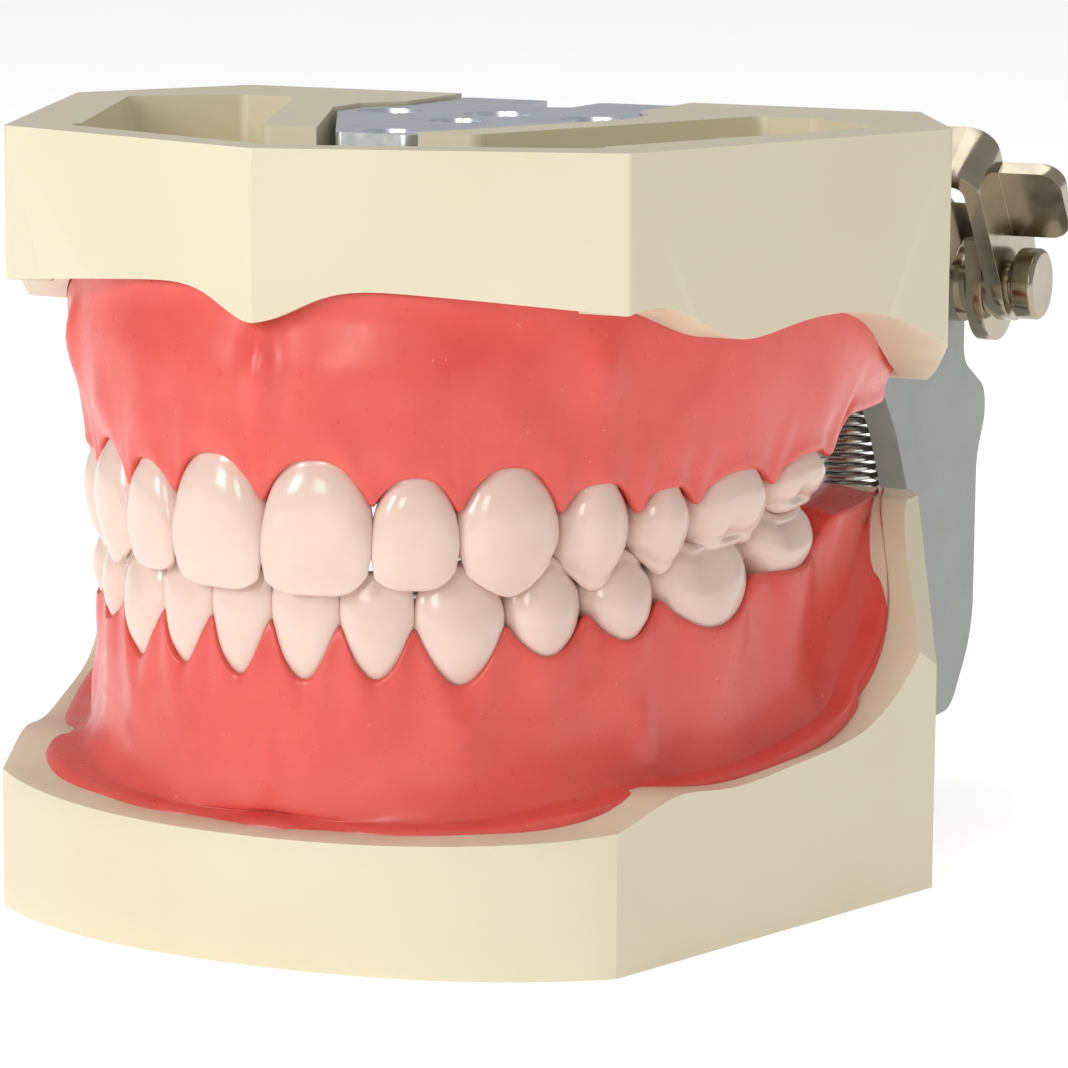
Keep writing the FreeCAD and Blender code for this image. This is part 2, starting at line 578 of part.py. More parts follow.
def gingiva(gum, teeth, screws):
    """The gum with a socket for every tooth; the screws' holes are cleared with the sockets."""
    gum = gum.cut(list(teeth))
    low, high = gum.BoundBox.ZMin, gum.BoundBox.ZMax
    return gum.cut([rod_z(SCREW_RADIUS + GUM_HOLE_GAP, low, high, place.x, place.y) for place in screws])


# ---- teeth ----

def tooth_section(place, z, half_width, facial, contact, lingual, squareness):
    """A closed egg-shaped curve. Facial, contact and lingual are distances inwards of the arch.

    The section is widest at the contact distance.
    """
    point, along, inward = place
    count = 16
    points = []
    for k in range(count):
        angle = 2 * math.pi * k / count
        c, s = math.cos(angle), math.sin(angle)
        across = half_width * math.copysign(abs(c) ** (2 / squareness), c)
        reach = lingual - contact if s > 0 else contact - facial
        depth = contact + reach * math.copysign(abs(s) ** (2 / squareness), s)
        points.append(point + along * across + inward * depth + V(0, 0, z))
    curve = Part.BSplineCurve()
    curve.interpolate(Points=points, PeriodicFlag=True)
    return Part.Wire(curve.toShape())


# Crown stations from neck (0) to tip (1): height, half width as a share of the tooth's width,
# outer face and inner face as shares of its depth, and squareness.
CROWNS = {
    "incisor": ((0.0, 0.36, 0.06, 0.86, 2.1), (0.3, 0.43, -0.08, 0.80, 2.2),
                (0.65, 0.48, -0.07, 0.42, 2.4), (1.0, 0.46, 0.03, 0.22, 2.8)),
    "canine": ((0.0, 0.37, 0.04, 0.88, 2.1), (0.35, 0.44, -0.08, 0.84, 2.2),
               (0.65, 0.48, -0.05, 0.52, 2.2), (1.0, 0.24, 0.05, 0.24, 2.0)),
    "premolar": ((0.0, 0.38, 0.04, 0.90, 2.2), (0.4, 0.45, -0.04, 0.97, 2.3),
                 (0.72, 0.47, 0.02, 0.97, 2.4), (1.0, 0.38, 0.14, 0.82, 2.4)),
    "molar": ((0.0, 0.42, 0.03, 0.92, 2.5), (0.4, 0.455, -0.03, 0.98, 2.6),
              (0.72, 0.465, 0.02, 0.98, 2.6), (1.0, 0.41, 0.12, 0.86, 2.6)),
}
CONTACT_SHARE = {"incisor": 0.2, "canine": 0.22, "premolar": 0.42, "molar": 0.44}


def screw_place(place, tooth):
    point, _, inward = place
    return point + inward * tooth.root_in


def tooth_solid(place, tooth, root_end_z, neck):
    """Crown and root in one piece, with the screw's hole in the root's end."""
    tip = tooth.tip_z
    pull_in = 1.0 - CONTACT_GAP / tooth.width
    sections = []
    round_root = (tooth.root_in - ROOT_RADIUS, tooth.root_in, tooth.root_in + ROOT_RADIUS)
    sections.append(tooth_section(place, root_end_z, ROOT_RADIUS, *round_root, 2.0))
    halfway = (root_end_z + neck) / 2
    swollen = ROOT_RADIUS * ROOT_SWELL
    middle = tooth.root_in - ROOT_LEAN
    sections.append(tooth_section(place, halfway, swollen, middle - swollen, middle,
                                  middle + swollen, 2.0))
    contact = CONTACT_SHARE[tooth.form] * tooth.depth
    for height, half_width, facial, lingual, squareness in CROWNS[tooth.form]:
        sections.append(tooth_section(place, neck + (tip - neck) * height,
                                      half_width * tooth.width * pull_in, facial * tooth.depth,
                                      contact, lingual * tooth.depth, squareness))
    solid = Part.makeLoft(sections, True, True)
    if tooth.form in ("premolar", "molar"):
        solid = solid.cut(fissure(place, tooth, 1 if neck > tip else -1))
    bore = screw_place(place, tooth)
    direction = 1 if root_end_z > neck else -1
    return solid.cut(Part.makeCylinder(SCREW_RADIUS, SCREW_GRIP, V(bore.x, bore.y, root_end_z),
                                       V(0, 0, -direction)))


def fissure(place, tooth, into):
    """The valley along the chewing surface; into is +1 where the crown hangs down."""
    point, along, inward = place
    middle = point + inward * (tooth.depth * 0.48) - along * tooth.width
    half = tooth.depth * FISSURE_SHARE
    outside = V(0, 0, tooth.tip_z - into * FISSURE_OVERCUT)
    valley = [V(0, 0, tooth.tip_z + into * FISSURE_DEPTH), inward * half + outside,
              inward * -half + outside]
    return polygon_face([middle + corner for corner in valley]).extrude(along * (2 * tooth.width))


def row_of_teeth(arch, teeth, root_end_z, neck_z, jaw):
    """All teeth of one jaw by name, with the places of their screws."""
    solids = {}
    screws = []
    for index, tooth in enumerate(teeth):
        place = tooth_place(arch, teeth, index)
        left = tooth_solid(place, tooth, root_end_z, neck_z)
        bore = screw_place(place, tooth)
        solids[jaw + "_left_" + tooth.name] = left
        solids[jaw + "_right_" + tooth.name] = mirrored(left)
        screws.extend([bore, V(-bore.x, bore.y, 0)])
    return solids, screws


# ---- fasteners ----

def signed(values):
    return [side * value for value in values for side in (-1, 1)]


def slotted_screw(radius, length, head_radius, head_height, at, direction):
    """A pan-head screw: at is under the head, direction points from the head to the tip."""
    shank = Part.makeCylinder(radius, length, at, direction)
    back = V(direction).multiply(-1)
    head = Part.makeCylinder(head_radius, head_height, at, back)
    top = at + back * head_height
    head = rounded(head, lambda edge: edge.Closed and edge.Curve.Center.distanceToPoint(top) < 1e-6,
                   head_height * 0.35)
    across = V(0, 1, 0) if abs(direction.z) > 0.5 else V(1, 0, 0)
    side = direction.cross(across)
    half = SCREW_SLOT / 2
    corners = [top + across * (sx * head_radius * 1.2) + side * (sy * half)
               for sx, sy in ((-1, -1), (1, -1), (1, 1), (-1, 1))]
    slot = polygon_face(corners).extrude(V(direction).multiply(head_height * 0.45))
    return shank.fuse(head.cut(slot)).removeSplitter()


def group(solids):
    return Part.makeCompound(solids)


def tooth_screws(screws, floor_z, seat_z):
    """The screws' heads stand on the trough floor; their tips are in the roots beyond seat_z."""
    length = abs(seat_z - floor_z) + SCREW_GRIP - SCREW_HEAD_GAP
    along = V(0, 0, math.copysign(1, seat_z - floor_z))
    return group([slotted_screw(SCREW_RADIUS, length, SCREW_HEAD_RADIUS, SCREW_HEAD_HEIGHT,
                                V(place.x, place.y, floor_z), along) for place in screws])


def plate_screws(face_z, inwards):
    """Screws sunk in the mounting plate's two counterbored holes."""
    bore = PLATE_SCREW_HEAD_HEIGHT + PLATE_SCREW_SINK
    under_head = face_z + inwards * (PLATE_RECESS + bore)
    length = PLATE_THICKNESS - bore + PLATE_SCREW_LENGTH - SCREW_HEAD_GAP
    return group([slotted_screw(PLATE_SCREW_RADIUS, length, PLATE_SCREW_HEAD_RADIUS - 0.15,
                                PLATE_SCREW_HEAD_HEIGHT, V(0, y, under_head), V(0, 0, inwards))
                  for y in PLATE_SCREW_YS])


def bracket_screws():
    return group([slotted_screw(PAN_SCREW_RADIUS, BRACKET_SCREW_LENGTH + SHEET - SCREW_HEAD_GAP,
                                PAN_HEAD_RADIUS, PAN_HEAD_HEIGHT,
                                V(x, BASE_LENGTH + SHEET, BRACKET_SCREW_Z), V(0, -1, 0))
                  for x in signed(BRACKET_SCREW_XS)])


def arm_screws():
    return group([slotted_screw(PAN_SCREW_RADIUS, ARM_THICKNESS + PLATE_THICKNESS, PAN_HEAD_RADIUS,
                                PAN_HEAD_HEIGHT, V(x, y, ARM_FOOT_TOP_Z), V(0, 0, -1))
                  for x in signed([FOOT_SCREW_X]) for y in FOOT_SCREW_YS])


# ---- mounting plates ----

def plate_body(z_low, rear):
    """A fan-shaped plate; rear is the rest of its half outline, behind the wide part."""
    half = [(0, PLATE_TONGUE_Y), (PLATE_TONGUE_HALF_WIDTH, PLATE_TONGUE_Y),
            (PLATE_WIDE_HALF_WIDTH, PLATE_WIDE_Y),
            (PLATE_WIDE_HALF_WIDTH, BENCH_HOLE_Y + BENCH_HOLE_RADIUS),
            (PLATE_REAR_HALF_WIDTH, BENCH_HOLE_Y + BENCH_HOLE_RADIUS + PLATE_TAPER)] + rear
    plate = plan_prism(symmetric_outline(half), z_low, z_low + PLATE_THICKNESS)
    plate = rounded(plate, is_vertical, PLATE_CORNER)
    z_high = z_low + PLATE_THICKNESS
    for x in (-BENCH_HOLE_SPACING / 2, BENCH_HOLE_SPACING / 2):
        plate = plate.cut(rod_z(BENCH_HOLE_RADIUS, z_low, z_high, x, BENCH_HOLE_Y))
    return plate.cut(rod_z(CENTRE_HOLE_RADIUS, z_low, z_high, 0, CENTRE_HOLE_Y))


def cut_plate_screw_holes(plate, face_z, inwards):
    """Counterbored holes, seen from the plate's open face at face_z."""
    into = V(0, 0, inwards)
    for y in PLATE_SCREW_YS:
        plate = plate.cut(Part.makeCylinder(PLATE_SCREW_RADIUS, PLATE_THICKNESS,
                                            V(0, y, face_z), into))
        plate = plate.cut(Part.makeCylinder(PLATE_SCREW_HEAD_RADIUS,
                                            PLATE_SCREW_HEAD_HEIGHT + PLATE_SCREW_SINK,
                                            V(0, y, face_z), into))
    return plate


def upper_mounting_plate():
    rear = [(PLATE_REAR_HALF_WIDTH, BASE_LENGTH), (PLATE_NOTCH_HALF_WIDTH, BASE_LENGTH),
            (PLATE_NOTCH_HALF_WIDTH, BASE_LENGTH - PLATE_NOTCH_DEPTH),
            (0, BASE_LENGTH - PLATE_NOTCH_DEPTH - 1.0)]
    face_z = TOP_Z - PLATE_RECESS
    plate = plate_body(face_z - PLATE_THICKNESS, rear)
    return cut_plate_screw_holes(plate, face_z, -1)


def lower_mounting_plate():
    shoulder = BASE_LENGTH + 3.0
    rear = [(PLATE_REAR_HALF_WIDTH, BASE_LENGTH + 1.0), (ARM_INNER_X, shoulder),
            (ARM_INNER_X, ARM_FOOT_REAR_Y + 1.5), (0, ARM_FOOT_REAR_Y + 1.5)]
    plate = plate_body(PLATE_RECESS, rear)
    plate = cut_plate_screw_holes(plate, PLATE_RECESS, 1)
    for x in signed([FOOT_SCREW_X]):
        for y in FOOT_SCREW_YS:
            plate = plate.cut(rod_z(PAN_SCREW_RADIUS, 0, 5, x, y))
    return plate


# ---- side arms ----

def side_arm():
    """One articulator arm on the +X side: a sheet with a foot folded inwards."""
    foot_z = ARM_FOOT_TOP_Z - ARM_THICKNESS
    fold_top = ARM_FOOT_TOP_Z + BEND_RADIUS
    outer_x = ARM_INNER_X + ARM_THICKNESS
    waist_z = HINGE_Z * ARM_WAIST_SHARE
    corners = [(ARM_FOOT_FRONT_Y, fold_top, 0), (HINGE_Y - 5.8, fold_top + 3.6, 6),
               (HINGE_Y - 3.0, waist_z, 12), (HINGE_Y - 10.4, waist_z + 13.0, 10),
               (HINGE_Y - 16.2, HINGE_Z - 6.4, 3), (HINGE_Y - 14.6, HINGE_Z, 3),
               (HINGE_Y - ARM_HEAD_RADIUS, HINGE_Z + 2.6, 4),
               (HINGE_Y - ARM_HEAD_RADIUS * 0.7, HINGE_Z + ARM_HEAD_RADIUS, 5),
               (HINGE_Y + ARM_HEAD_RADIUS, HINGE_Z + ARM_HEAD_RADIUS, 7),
               (HINGE_Y + ARM_HEAD_RADIUS, HINGE_Z - 8.4, 2.5),
               (ARM_REAR_Y, HINGE_Z - 11.6, 2.5), (ARM_REAR_Y, HINGE_Z - 14.4, 2.5),
               (ARM_REAR_Y - 2.1, HINGE_Z - 18.0, 6), (ARM_REAR_Y - 2.1, fold_top + 6.5, 9),
               (ARM_FOOT_REAR_Y + 6.0, fold_top, 4), (ARM_FOOT_REAR_Y, fold_top, 0)]
    face = Part.Face(rounded_wire(corners, lambda y, z: V(ARM_INNER_X, y, z)))
    sheet = face.extrude(V(ARM_THICKNESS, 0, 0))
    foot_y = ARM_FOOT_FRONT_Y
    centre = V(ARM_INNER_X - BEND_RADIUS, foot_y, fold_top)
    diagonal = math.sqrt(0.5)

    def on_bend(radius):
        return centre + V(radius * diagonal, 0, -radius * diagonal)

    outside = BEND_RADIUS + ARM_THICKNESS
    foot = Part.Wire([
        Part.makeLine(V(ARM_FOOT_INNER_X, foot_y, foot_z), V(centre.x, foot_y, foot_z)),
        Part.Arc(V(centre.x, foot_y, foot_z), on_bend(outside), V(outer_x, foot_y, fold_top)).toShape(),
        Part.makeLine(V(outer_x, foot_y, fold_top), V(ARM_INNER_X, foot_y, fold_top)),
        Part.Arc(V(ARM_INNER_X, foot_y, fold_top), on_bend(BEND_RADIUS),
                 V(centre.x, foot_y, foot_z + ARM_THICKNESS)).toShape(),
        Part.makeLine(V(centre.x, foot_y, foot_z + ARM_THICKNESS),
                      V(ARM_FOOT_INNER_X, foot_y, foot_z + ARM_THICKNESS)),
        Part.makeLine(V(ARM_FOOT_INNER_X, foot_y, foot_z + ARM_THICKNESS),
                      V(ARM_FOOT_INNER_X, foot_y, foot_z))])
    foot = Part.Face(foot).extrude(V(0, ARM_FOOT_REAR_Y - ARM_FOOT_FRONT_Y, 0))
    arm = sheet.fuse(foot).removeSplitter()
    arm = arm.cut(rod_x(SHAFT_RADIUS, 0, outer_x + 1, HINGE_Y, HINGE_Z))
    for y in FOOT_SCREW_YS:
        arm = arm.cut(rod_z(PAN_SCREW_RADIUS, 0, fold_top, FOOT_SCREW_X, y))
    return arm


# ---- hinge ----

def hinge_bracket():
    """The upper jaw's bracket: a web on the base's back face, two side flanges with lugs
    and two fingers for the springs."""
    outer_x = LUG_INNER_X + SHEET
    back_y = BASE_LENGTH
    web = block(-outer_x, outer_x, back_y, back_y + SHEET, BRACKET_BOTTOM_Z, BRACKET_TOP_Z)
    lug_y = HINGE_Y + LUG_SETBACK
    arch_z = BRACKET_BOTTOM_Z + 2.3
    flange = side_prism([(back_y, BRACKET_BOTTOM_Z), (back_y, BRACKET_TOP_Z),
                         (back_y + 3, BRACKET_TOP_Z), (HINGE_Y - 13.4, HINGE_Z + 8.4),
                         (HINGE_Y - 4.0, HINGE_Z + 7.4), (lug_y + LUG_RADIUS * 0.6, HINGE_Z + 4.0),
                         (lug_y, HINGE_Z), (HINGE_Y - 2.8, HINGE_Z), (HINGE_Y - 3.6, arch_z - 0.6),
                         (HINGE_Y - 5.0, arch_z), (HINGE_Y - 8.0, arch_z),
                         (HINGE_Y - 11.5, BRACKET_BOTTOM_Z)], LUG_INNER_X, outer_x)
    lug = rod_x(LUG_RADIUS, LUG_INNER_X, outer_x, lug_y, HINGE_Z - 0.4)
    flange = flange.fuse(lug).removeSplitter()
    flange = flange.cut(rod_x(SHAFT_RADIUS + RUNNING_CLEARANCE, LUG_INNER_X - 1, outer_x + 1,
                              HINGE_Y, HINGE_Z))
    finger = block(SPRING_X - FINGER_WIDTH / 2, SPRING_X + FINGER_WIDTH / 2, back_y,
                   SPRING_Y + FINGER_WIDTH / 2, BRACKET_BOTTOM_Z, BRACKET_BOTTOM_Z + SHEET)
    finger = rounded(finger, lambda edge: is_vertical(edge) and edge.BoundBox.YMax > SPRING_Y,
                     FINGER_WIDTH * 0.45)
    bracket = web.fuse([flange, mirrored(flange), finger, mirrored(finger)]).removeSplitter()
    bracket = rounded(bracket, lambda edge: is_vertical(edge) and edge.BoundBox.YMax < back_y + 0.01
                      and abs(edge.BoundBox.XMax) > LUG_INNER_X, SHEET * 0.9)
    for x in signed(BRACKET_SCREW_XS):
        bracket = bracket.cut(Part.makeCylinder(PAN_SCREW_RADIUS, SHEET * 3,
                                                V(x, back_y - SHEET, BRACKET_SCREW_Z), V(0, 1, 0)))
    return bracket


def hinge_shaft():
    """A through shaft with a headed end on +X."""
    shaft = rod_x(SHAFT_RADIUS, -PIN_HEAD_INNER_X - CAP_BORE_DEPTH, PIN_HEAD_INNER_X + 0.5,
                  HINGE_Y, HINGE_Z)
    head = rod_x(PIN_HEAD_RADIUS, PIN_HEAD_INNER_X, PIN_HEAD_INNER_X + PIN_HEAD_LENGTH,
                 HINGE_Y, HINGE_Z)
    head = rounded(head, lambda edge: edge.Closed, PIN_HEAD_ROUND)
    return shaft.fuse(head).removeSplitter()


def shaft_cap():
    """The press-on cap at the shaft's -X end, alike in shape to its head."""
    end = -PIN_HEAD_INNER_X - PIN_HEAD_LENGTH
    cap = rod_x(PIN_HEAD_RADIUS, end, -PIN_HEAD_INNER_X, HINGE_Y, HINGE_Z)
    cap = rounded(cap, lambda edge: edge.Closed, PIN_HEAD_ROUND)
    return cap.cut(rod_x(SHAFT_RADIUS, -PIN_HEAD_INNER_X - CAP_BORE_DEPTH, 0, HINGE_Y, HINGE_Z))


def ring_x(radius, x_low, x_high):
    ring = rod_x(radius, x_low, x_high, HINGE_Y, HINGE_Z)
    return ring.cut(rod_x(SHAFT_RADIUS, x_low - 1, x_high + 1, HINGE_Y, HINGE_Z))


def spacers():
    start = ARM_INNER_X + ARM_THICKNESS
    tube = ring_x(SPACER_RADIUS, start, start + SPACER_LENGTH)
    return group([tube, mirrored(tube)])


def washers():
    """Thin washers each side of the lugs."""
    inner_start = ARM_INNER_X + ARM_THICKNESS + SPACER_LENGTH
    inner = ring_x(WASHER_RADIUS, inner_start, LUG_INNER_X - WASHER_GAP)
    outer = ring_x(WASHER_RADIUS, LUG_INNER_X + SHEET + WASHER_GAP, YOKE_INNER_X - WASHER_GAP)
    return group([inner, mirrored(inner), outer, mirrored(outer)])


# ---- lever yoke ----

def on_strap(x, across, along):
    """A point given by its place across and along the yoke's leaning strap."""
    lean = math.radians(YOKE_TILT)
    y = HINGE_Y + across * math.cos(lean) - along * math.sin(lean)
    z = HINGE_Z + across * math.sin(lean) + along * math.cos(lean)
    return V(x, y, z)


def lever_yoke():
    """An inverted U of sheet with an eye at each end and an outward finger tab on each side."""
    outer_x = YOKE_INNER_X + SHEET
    bend = YOKE_BEND
    diagonal = bend * (1 - math.sqrt(0.5))
    inner_bend = bend - SHEET
    inner_diagonal = inner_bend * (1 - math.sqrt(0.5))
    top = YOKE_REACH

    def strap_point(x, along):
        return on_strap(x, -YOKE_FRONT, along)

    def half_loop(side):
        return [
            Part.makeLine(strap_point(side * outer_x, 0), strap_point(side * outer_x, top - bend)),
            Part.Arc(strap_point(side * outer_x, top - bend),
                     strap_point(side * (outer_x - diagonal), top - diagonal),
                     strap_point(side * (outer_x - bend), top)).toShape()]

    def half_inner(side):
        under = top - SHEET
        return [
            Part.makeLine(strap_point(side * YOKE_INNER_X, 0),
                          strap_point(side * YOKE_INNER_X, under - inner_bend)),
            Part.Arc(strap_point(side * YOKE_INNER_X, under - inner_bend),
                     strap_point(side * (YOKE_INNER_X - inner_diagonal), under - inner_diagonal),
                     strap_point(side * (YOKE_INNER_X - inner_bend), under)).toShape()]

    edges = half_loop(1) + half_loop(-1) + half_inner(1) + half_inner(-1)
    edges.append(Part.makeLine(strap_point(outer_x - bend, top), strap_point(bend - outer_x, top)))
    edges.append(Part.makeLine(strap_point(YOKE_INNER_X - inner_bend, top - SHEET),
                               strap_point(inner_bend - YOKE_INNER_X, top - SHEET)))
    for side in (-1, 1):
        edges.append(Part.makeLine(strap_point(side * outer_x, 0),
                                   strap_point(side * YOKE_INNER_X, 0)))
    across = on_strap(0, 1, 0) - on_strap(0, 0, 0)
    loop = Part.Wire(Part.__sortEdges__(edges))
    strap = Part.Face(loop).extrude(across * (YOKE_FRONT + YOKE_REAR))
    eye = yoke_eye(outer_x)
    tab = yoke_tab(outer_x)
    yoke = strap.fuse([eye, mirrored(eye), tab, mirrored(tab)]).removeSplitter()
    bore = rod_x(SHAFT_RADIUS + RUNNING_CLEARANCE, -outer_x - 1, outer_x + 1, HINGE_Y, HINGE_Z)
    return yoke.cut(bore)


def yoke_eye(outer_x):
    """The wide round end of the strap about the shaft, on the +X side."""
    middle = (YOKE_REAR - YOKE_FRONT) / 2
    centre = on_strap(YOKE_INNER_X, middle + YOKE_EYE_SETBACK, YOKE_EYE_RISE)
    return Part.makeCylinder(YOKE_EYE_RADIUS, outer_x - YOKE_INNER_X, centre, V(1, 0, 0))


def yoke_tab(outer_x):
    """The finger tab, folded outwards from the strap's rear edge, on the +X side."""
    start, end = TAB_START, TAB_START + TAB_LENGTH
    corners = [(YOKE_INNER_X, start), (TAB_OUTER_X, start), (TAB_OUTER_X, end), (YOKE_INNER_X, end)]
    face = polygon_face([on_strap(x, YOKE_REAR - SHEET, along) for x, along in corners])
    across = on_strap(0, 1, 0) - on_strap(0, 0, 0)
    tab = face.extrude(across * SHEET)

    def is_outer_corner(edge):
        ends = [vertex.Point for vertex in edge.Vertexes]
        same_x = abs(ends[0].x - ends[1].x) < 1e-6
        return same_x and ends[0].x > outer_x and abs(edge.Length - SHEET) < 1e-6

    return rounded(tab, is_outer_corner, TAB_CORNER)


# ---- springs ----

def spring():
    """The envelope of one coil spring, a tube between the two studs' shoulders."""
    outer = rod_z(SPRING_OUTER_RADIUS, SPRING_BOTTOM_Z, SPRING_TOP_Z, SPRING_X, SPRING_Y)
    bore = rod_z(SPRING_OUTER_RADIUS - SPRING_WIRE, 0, TOP_Z, SPRING_X, SPRING_Y)
    return outer.cut(bore)


def spring_studs(foot_z, direction):
    """The pair of studs that the springs' end coils grip; foot_z is where they are riveted on."""
    radius = SPRING_OUTER_RADIUS - SPRING_WIRE - STUD_CLEARANCE
    spring_end = SPRING_BOTTOM_Z if direction > 0 else SPRING_TOP_Z
    tip_z = spring_end + direction * STUD_LENGTH
    stud = rod_z(radius, min(foot_z, tip_z), max(foot_z, tip_z), SPRING_X, SPRING_Y)
    return group([stud, mirrored(stud)])


# ---- assembly ----

def all_parts():
    upper_seat_z = UPPER_RIM_Z + GUM_SEAT
    lower_seat_z = LOWER_RIM_Z - GUM_SEAT
    upper_teeth, upper_screws = row_of_teeth(UPPER_ARCH, UPPER_TEETH, upper_seat_z,
                                             UPPER_GUM_EDGE_Z, "upper")
    lower_teeth, lower_screws = row_of_teeth(LOWER_ARCH, LOWER_TEETH, lower_seat_z,
                                             LOWER_GUM_EDGE_Z, "lower")
    upper_gum = upper_gum_block()
    lower_gum = lower_gum_block()
    arm = side_arm()
    coil = spring()
    parts = {
        "upper_jaw_base": upper_jaw_base(upper_gum, upper_screws),
        "lower_jaw_base": lower_jaw_base(lower_gum, lower_screws),
        "upper_gingiva": gingiva(upper_gum, upper_teeth.values(), upper_screws),
        "lower_gingiva": gingiva(lower_gum, lower_teeth.values(), lower_screws),
        "upper_tooth_screws": tooth_screws(upper_screws, TOP_Z - UPPER_TROUGH_DEPTH, upper_seat_z),
        "lower_tooth_screws": tooth_screws(lower_screws, LOWER_TROUGH_DEPTH, lower_seat_z),
        "upper_mounting_plate": upper_mounting_plate(),
        "lower_mounting_plate": lower_mounting_plate(),
        "upper_plate_screws": plate_screws(TOP_Z, -1),
        "lower_plate_screws": plate_screws(0, 1),
        "side_arm_left": arm,
        "side_arm_right": mirrored(arm),
        "side_arm_screws": arm_screws(),
        "hinge_bracket": hinge_bracket(),
        "hinge_bracket_screws": bracket_screws(),
        "hinge_shaft": hinge_shaft(),
        "hinge_shaft_cap": shaft_cap(),
        "hinge_spacers": spacers(),
        "hinge_washers": washers(),
        "lever_yoke": lever_yoke(),
        "spring_left": coil,
        "spring_right": mirrored(coil),
        "upper_spring_studs": spring_studs(BRACKET_BOTTOM_Z, -1),
        "lower_spring_studs": spring_studs(ARM_FOOT_TOP_Z, 1),
    }
    parts.update(upper_teeth)
    parts.update(lower_teeth)
    return parts


def main():
    os.makedirs("parts", exist_ok=True)
    to_origin = V(0, -ARM_REAR_Y / 2, 0)
    for name, shape in all_parts().items():
        shape.translate(to_origin)
        print(name, len(shape.Solids), round(shape.Volume, 1), shape.isValid())
        shape.exportStep("parts/" + name + ".step")


main()
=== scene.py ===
import json
import math
import bmesh
import bpy
import numpy as np
from collections import namedtuple
from mathutils import Matrix, Vector


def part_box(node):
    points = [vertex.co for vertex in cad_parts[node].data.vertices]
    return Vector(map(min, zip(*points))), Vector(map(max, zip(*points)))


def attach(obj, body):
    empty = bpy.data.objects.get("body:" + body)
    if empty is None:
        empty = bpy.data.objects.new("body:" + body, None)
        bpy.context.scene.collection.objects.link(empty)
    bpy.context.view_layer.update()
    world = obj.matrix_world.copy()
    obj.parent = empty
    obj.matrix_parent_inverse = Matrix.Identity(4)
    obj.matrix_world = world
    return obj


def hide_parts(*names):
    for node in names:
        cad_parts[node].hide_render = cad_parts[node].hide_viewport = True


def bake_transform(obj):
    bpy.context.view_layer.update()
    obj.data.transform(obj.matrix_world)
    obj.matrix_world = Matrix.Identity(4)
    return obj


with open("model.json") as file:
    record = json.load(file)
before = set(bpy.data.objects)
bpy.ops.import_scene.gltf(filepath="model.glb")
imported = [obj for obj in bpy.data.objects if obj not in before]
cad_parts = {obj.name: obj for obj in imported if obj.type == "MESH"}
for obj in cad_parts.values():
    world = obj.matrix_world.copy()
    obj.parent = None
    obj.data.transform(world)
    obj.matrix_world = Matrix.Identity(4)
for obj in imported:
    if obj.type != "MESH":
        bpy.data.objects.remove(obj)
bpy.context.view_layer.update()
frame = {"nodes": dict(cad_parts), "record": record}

# The typodont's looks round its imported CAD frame. Shapes are worked out in millimetres, with Y
# measured from the front tip of the bases as in part.py, and are placed in metres at the end.
MM = 0.001
FRONT = float(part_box("upper_jaw_base")[0][1])      # the bases' front tip, metres


# ---- camera ----
SENSOR_WIDTH = 36.0
FOCAL_SHARE = 4.494            # focal length over the sensor's width
CAMERA_SHIFT = (-0.001, 0.0019)
CAMERA_AZIMUTH = 24.12
CAMERA_PITCH = 9.31
CAMERA_ROLL = 0.49
CAMERA_AT = (171.9, -329.4, 95.6)     # mm, from the bases' front tip


def make_camera():
    data = bpy.data.cameras.new("camera")
    data.sensor_width = SENSOR_WIDTH
    data.lens = SENSOR_WIDTH * FOCAL_SHARE
    data.shift_x, data.shift_y = CAMERA_SHIFT
    camera = bpy.data.objects.new("camera", data)
    bpy.context.scene.collection.objects.link(camera)
    azimuth, pitch = math.radians(CAMERA_AZIMUTH), math.radians(CAMERA_PITCH)
    ahead = Vector((-math.sin(azimuth) * math.cos(pitch), math.cos(azimuth) * math.cos(pitch),
                    -math.sin(pitch)))
    turn = ahead.to_track_quat("-Z", "Y").to_matrix().to_4x4()
    roll = Matrix.Rotation(math.radians(CAMERA_ROLL), 4, "Z")
    place = Vector((CAMERA_AT[0] * MM, CAMERA_AT[1] * MM + FRONT, CAMERA_AT[2] * MM))
    camera.matrix_world = Matrix.Translation(place) @ turn @ roll
    bpy.context.scene.camera = camera


# ---- mesh helpers ----
def to_frame(points):
    """Millimetres from the bases' front tip to metres in the row frame."""
    return np.asarray(points, float) * MM + np.array([0.0, FRONT, 0.0])


def make_mesh(name, points, faces, material):
    """A smooth-shaded mesh object from points in mm."""
    mesh = bpy.data.meshes.new(name)
    mesh.from_pydata(to_frame(points).tolist(), [], faces)
    mesh.validate()
    mesh.materials.append(material)
    piece = bpy.data.objects.new(name, mesh)
    bpy.context.scene.collection.objects.link(piece)
    mesh.polygons.foreach_set("use_smooth", [True] * len(mesh.polygons))
    return piece


def grid_faces(rows, columns, closed_rows=False, closed_columns=False):
    """Quads over a grid of points that may close on itself in either direction."""
    faces = []
    for i in range(rows if closed_rows else rows - 1):
        for j in range(columns if closed_columns else columns - 1):
            i2, j2 = (i + 1) % rows, (j + 1) % columns
            faces.append((i * columns + j, i * columns + j2,
                          i2 * columns + j2, i2 * columns + j))
    return faces


def outward(piece):
    """Turns every face's normal outwards."""
    shell = bmesh.new()
    shell.from_mesh(piece.data)
    bmesh.ops.recalc_face_normals(shell, faces=shell.faces)
    shell.to_mesh(piece.data)
    shell.free()


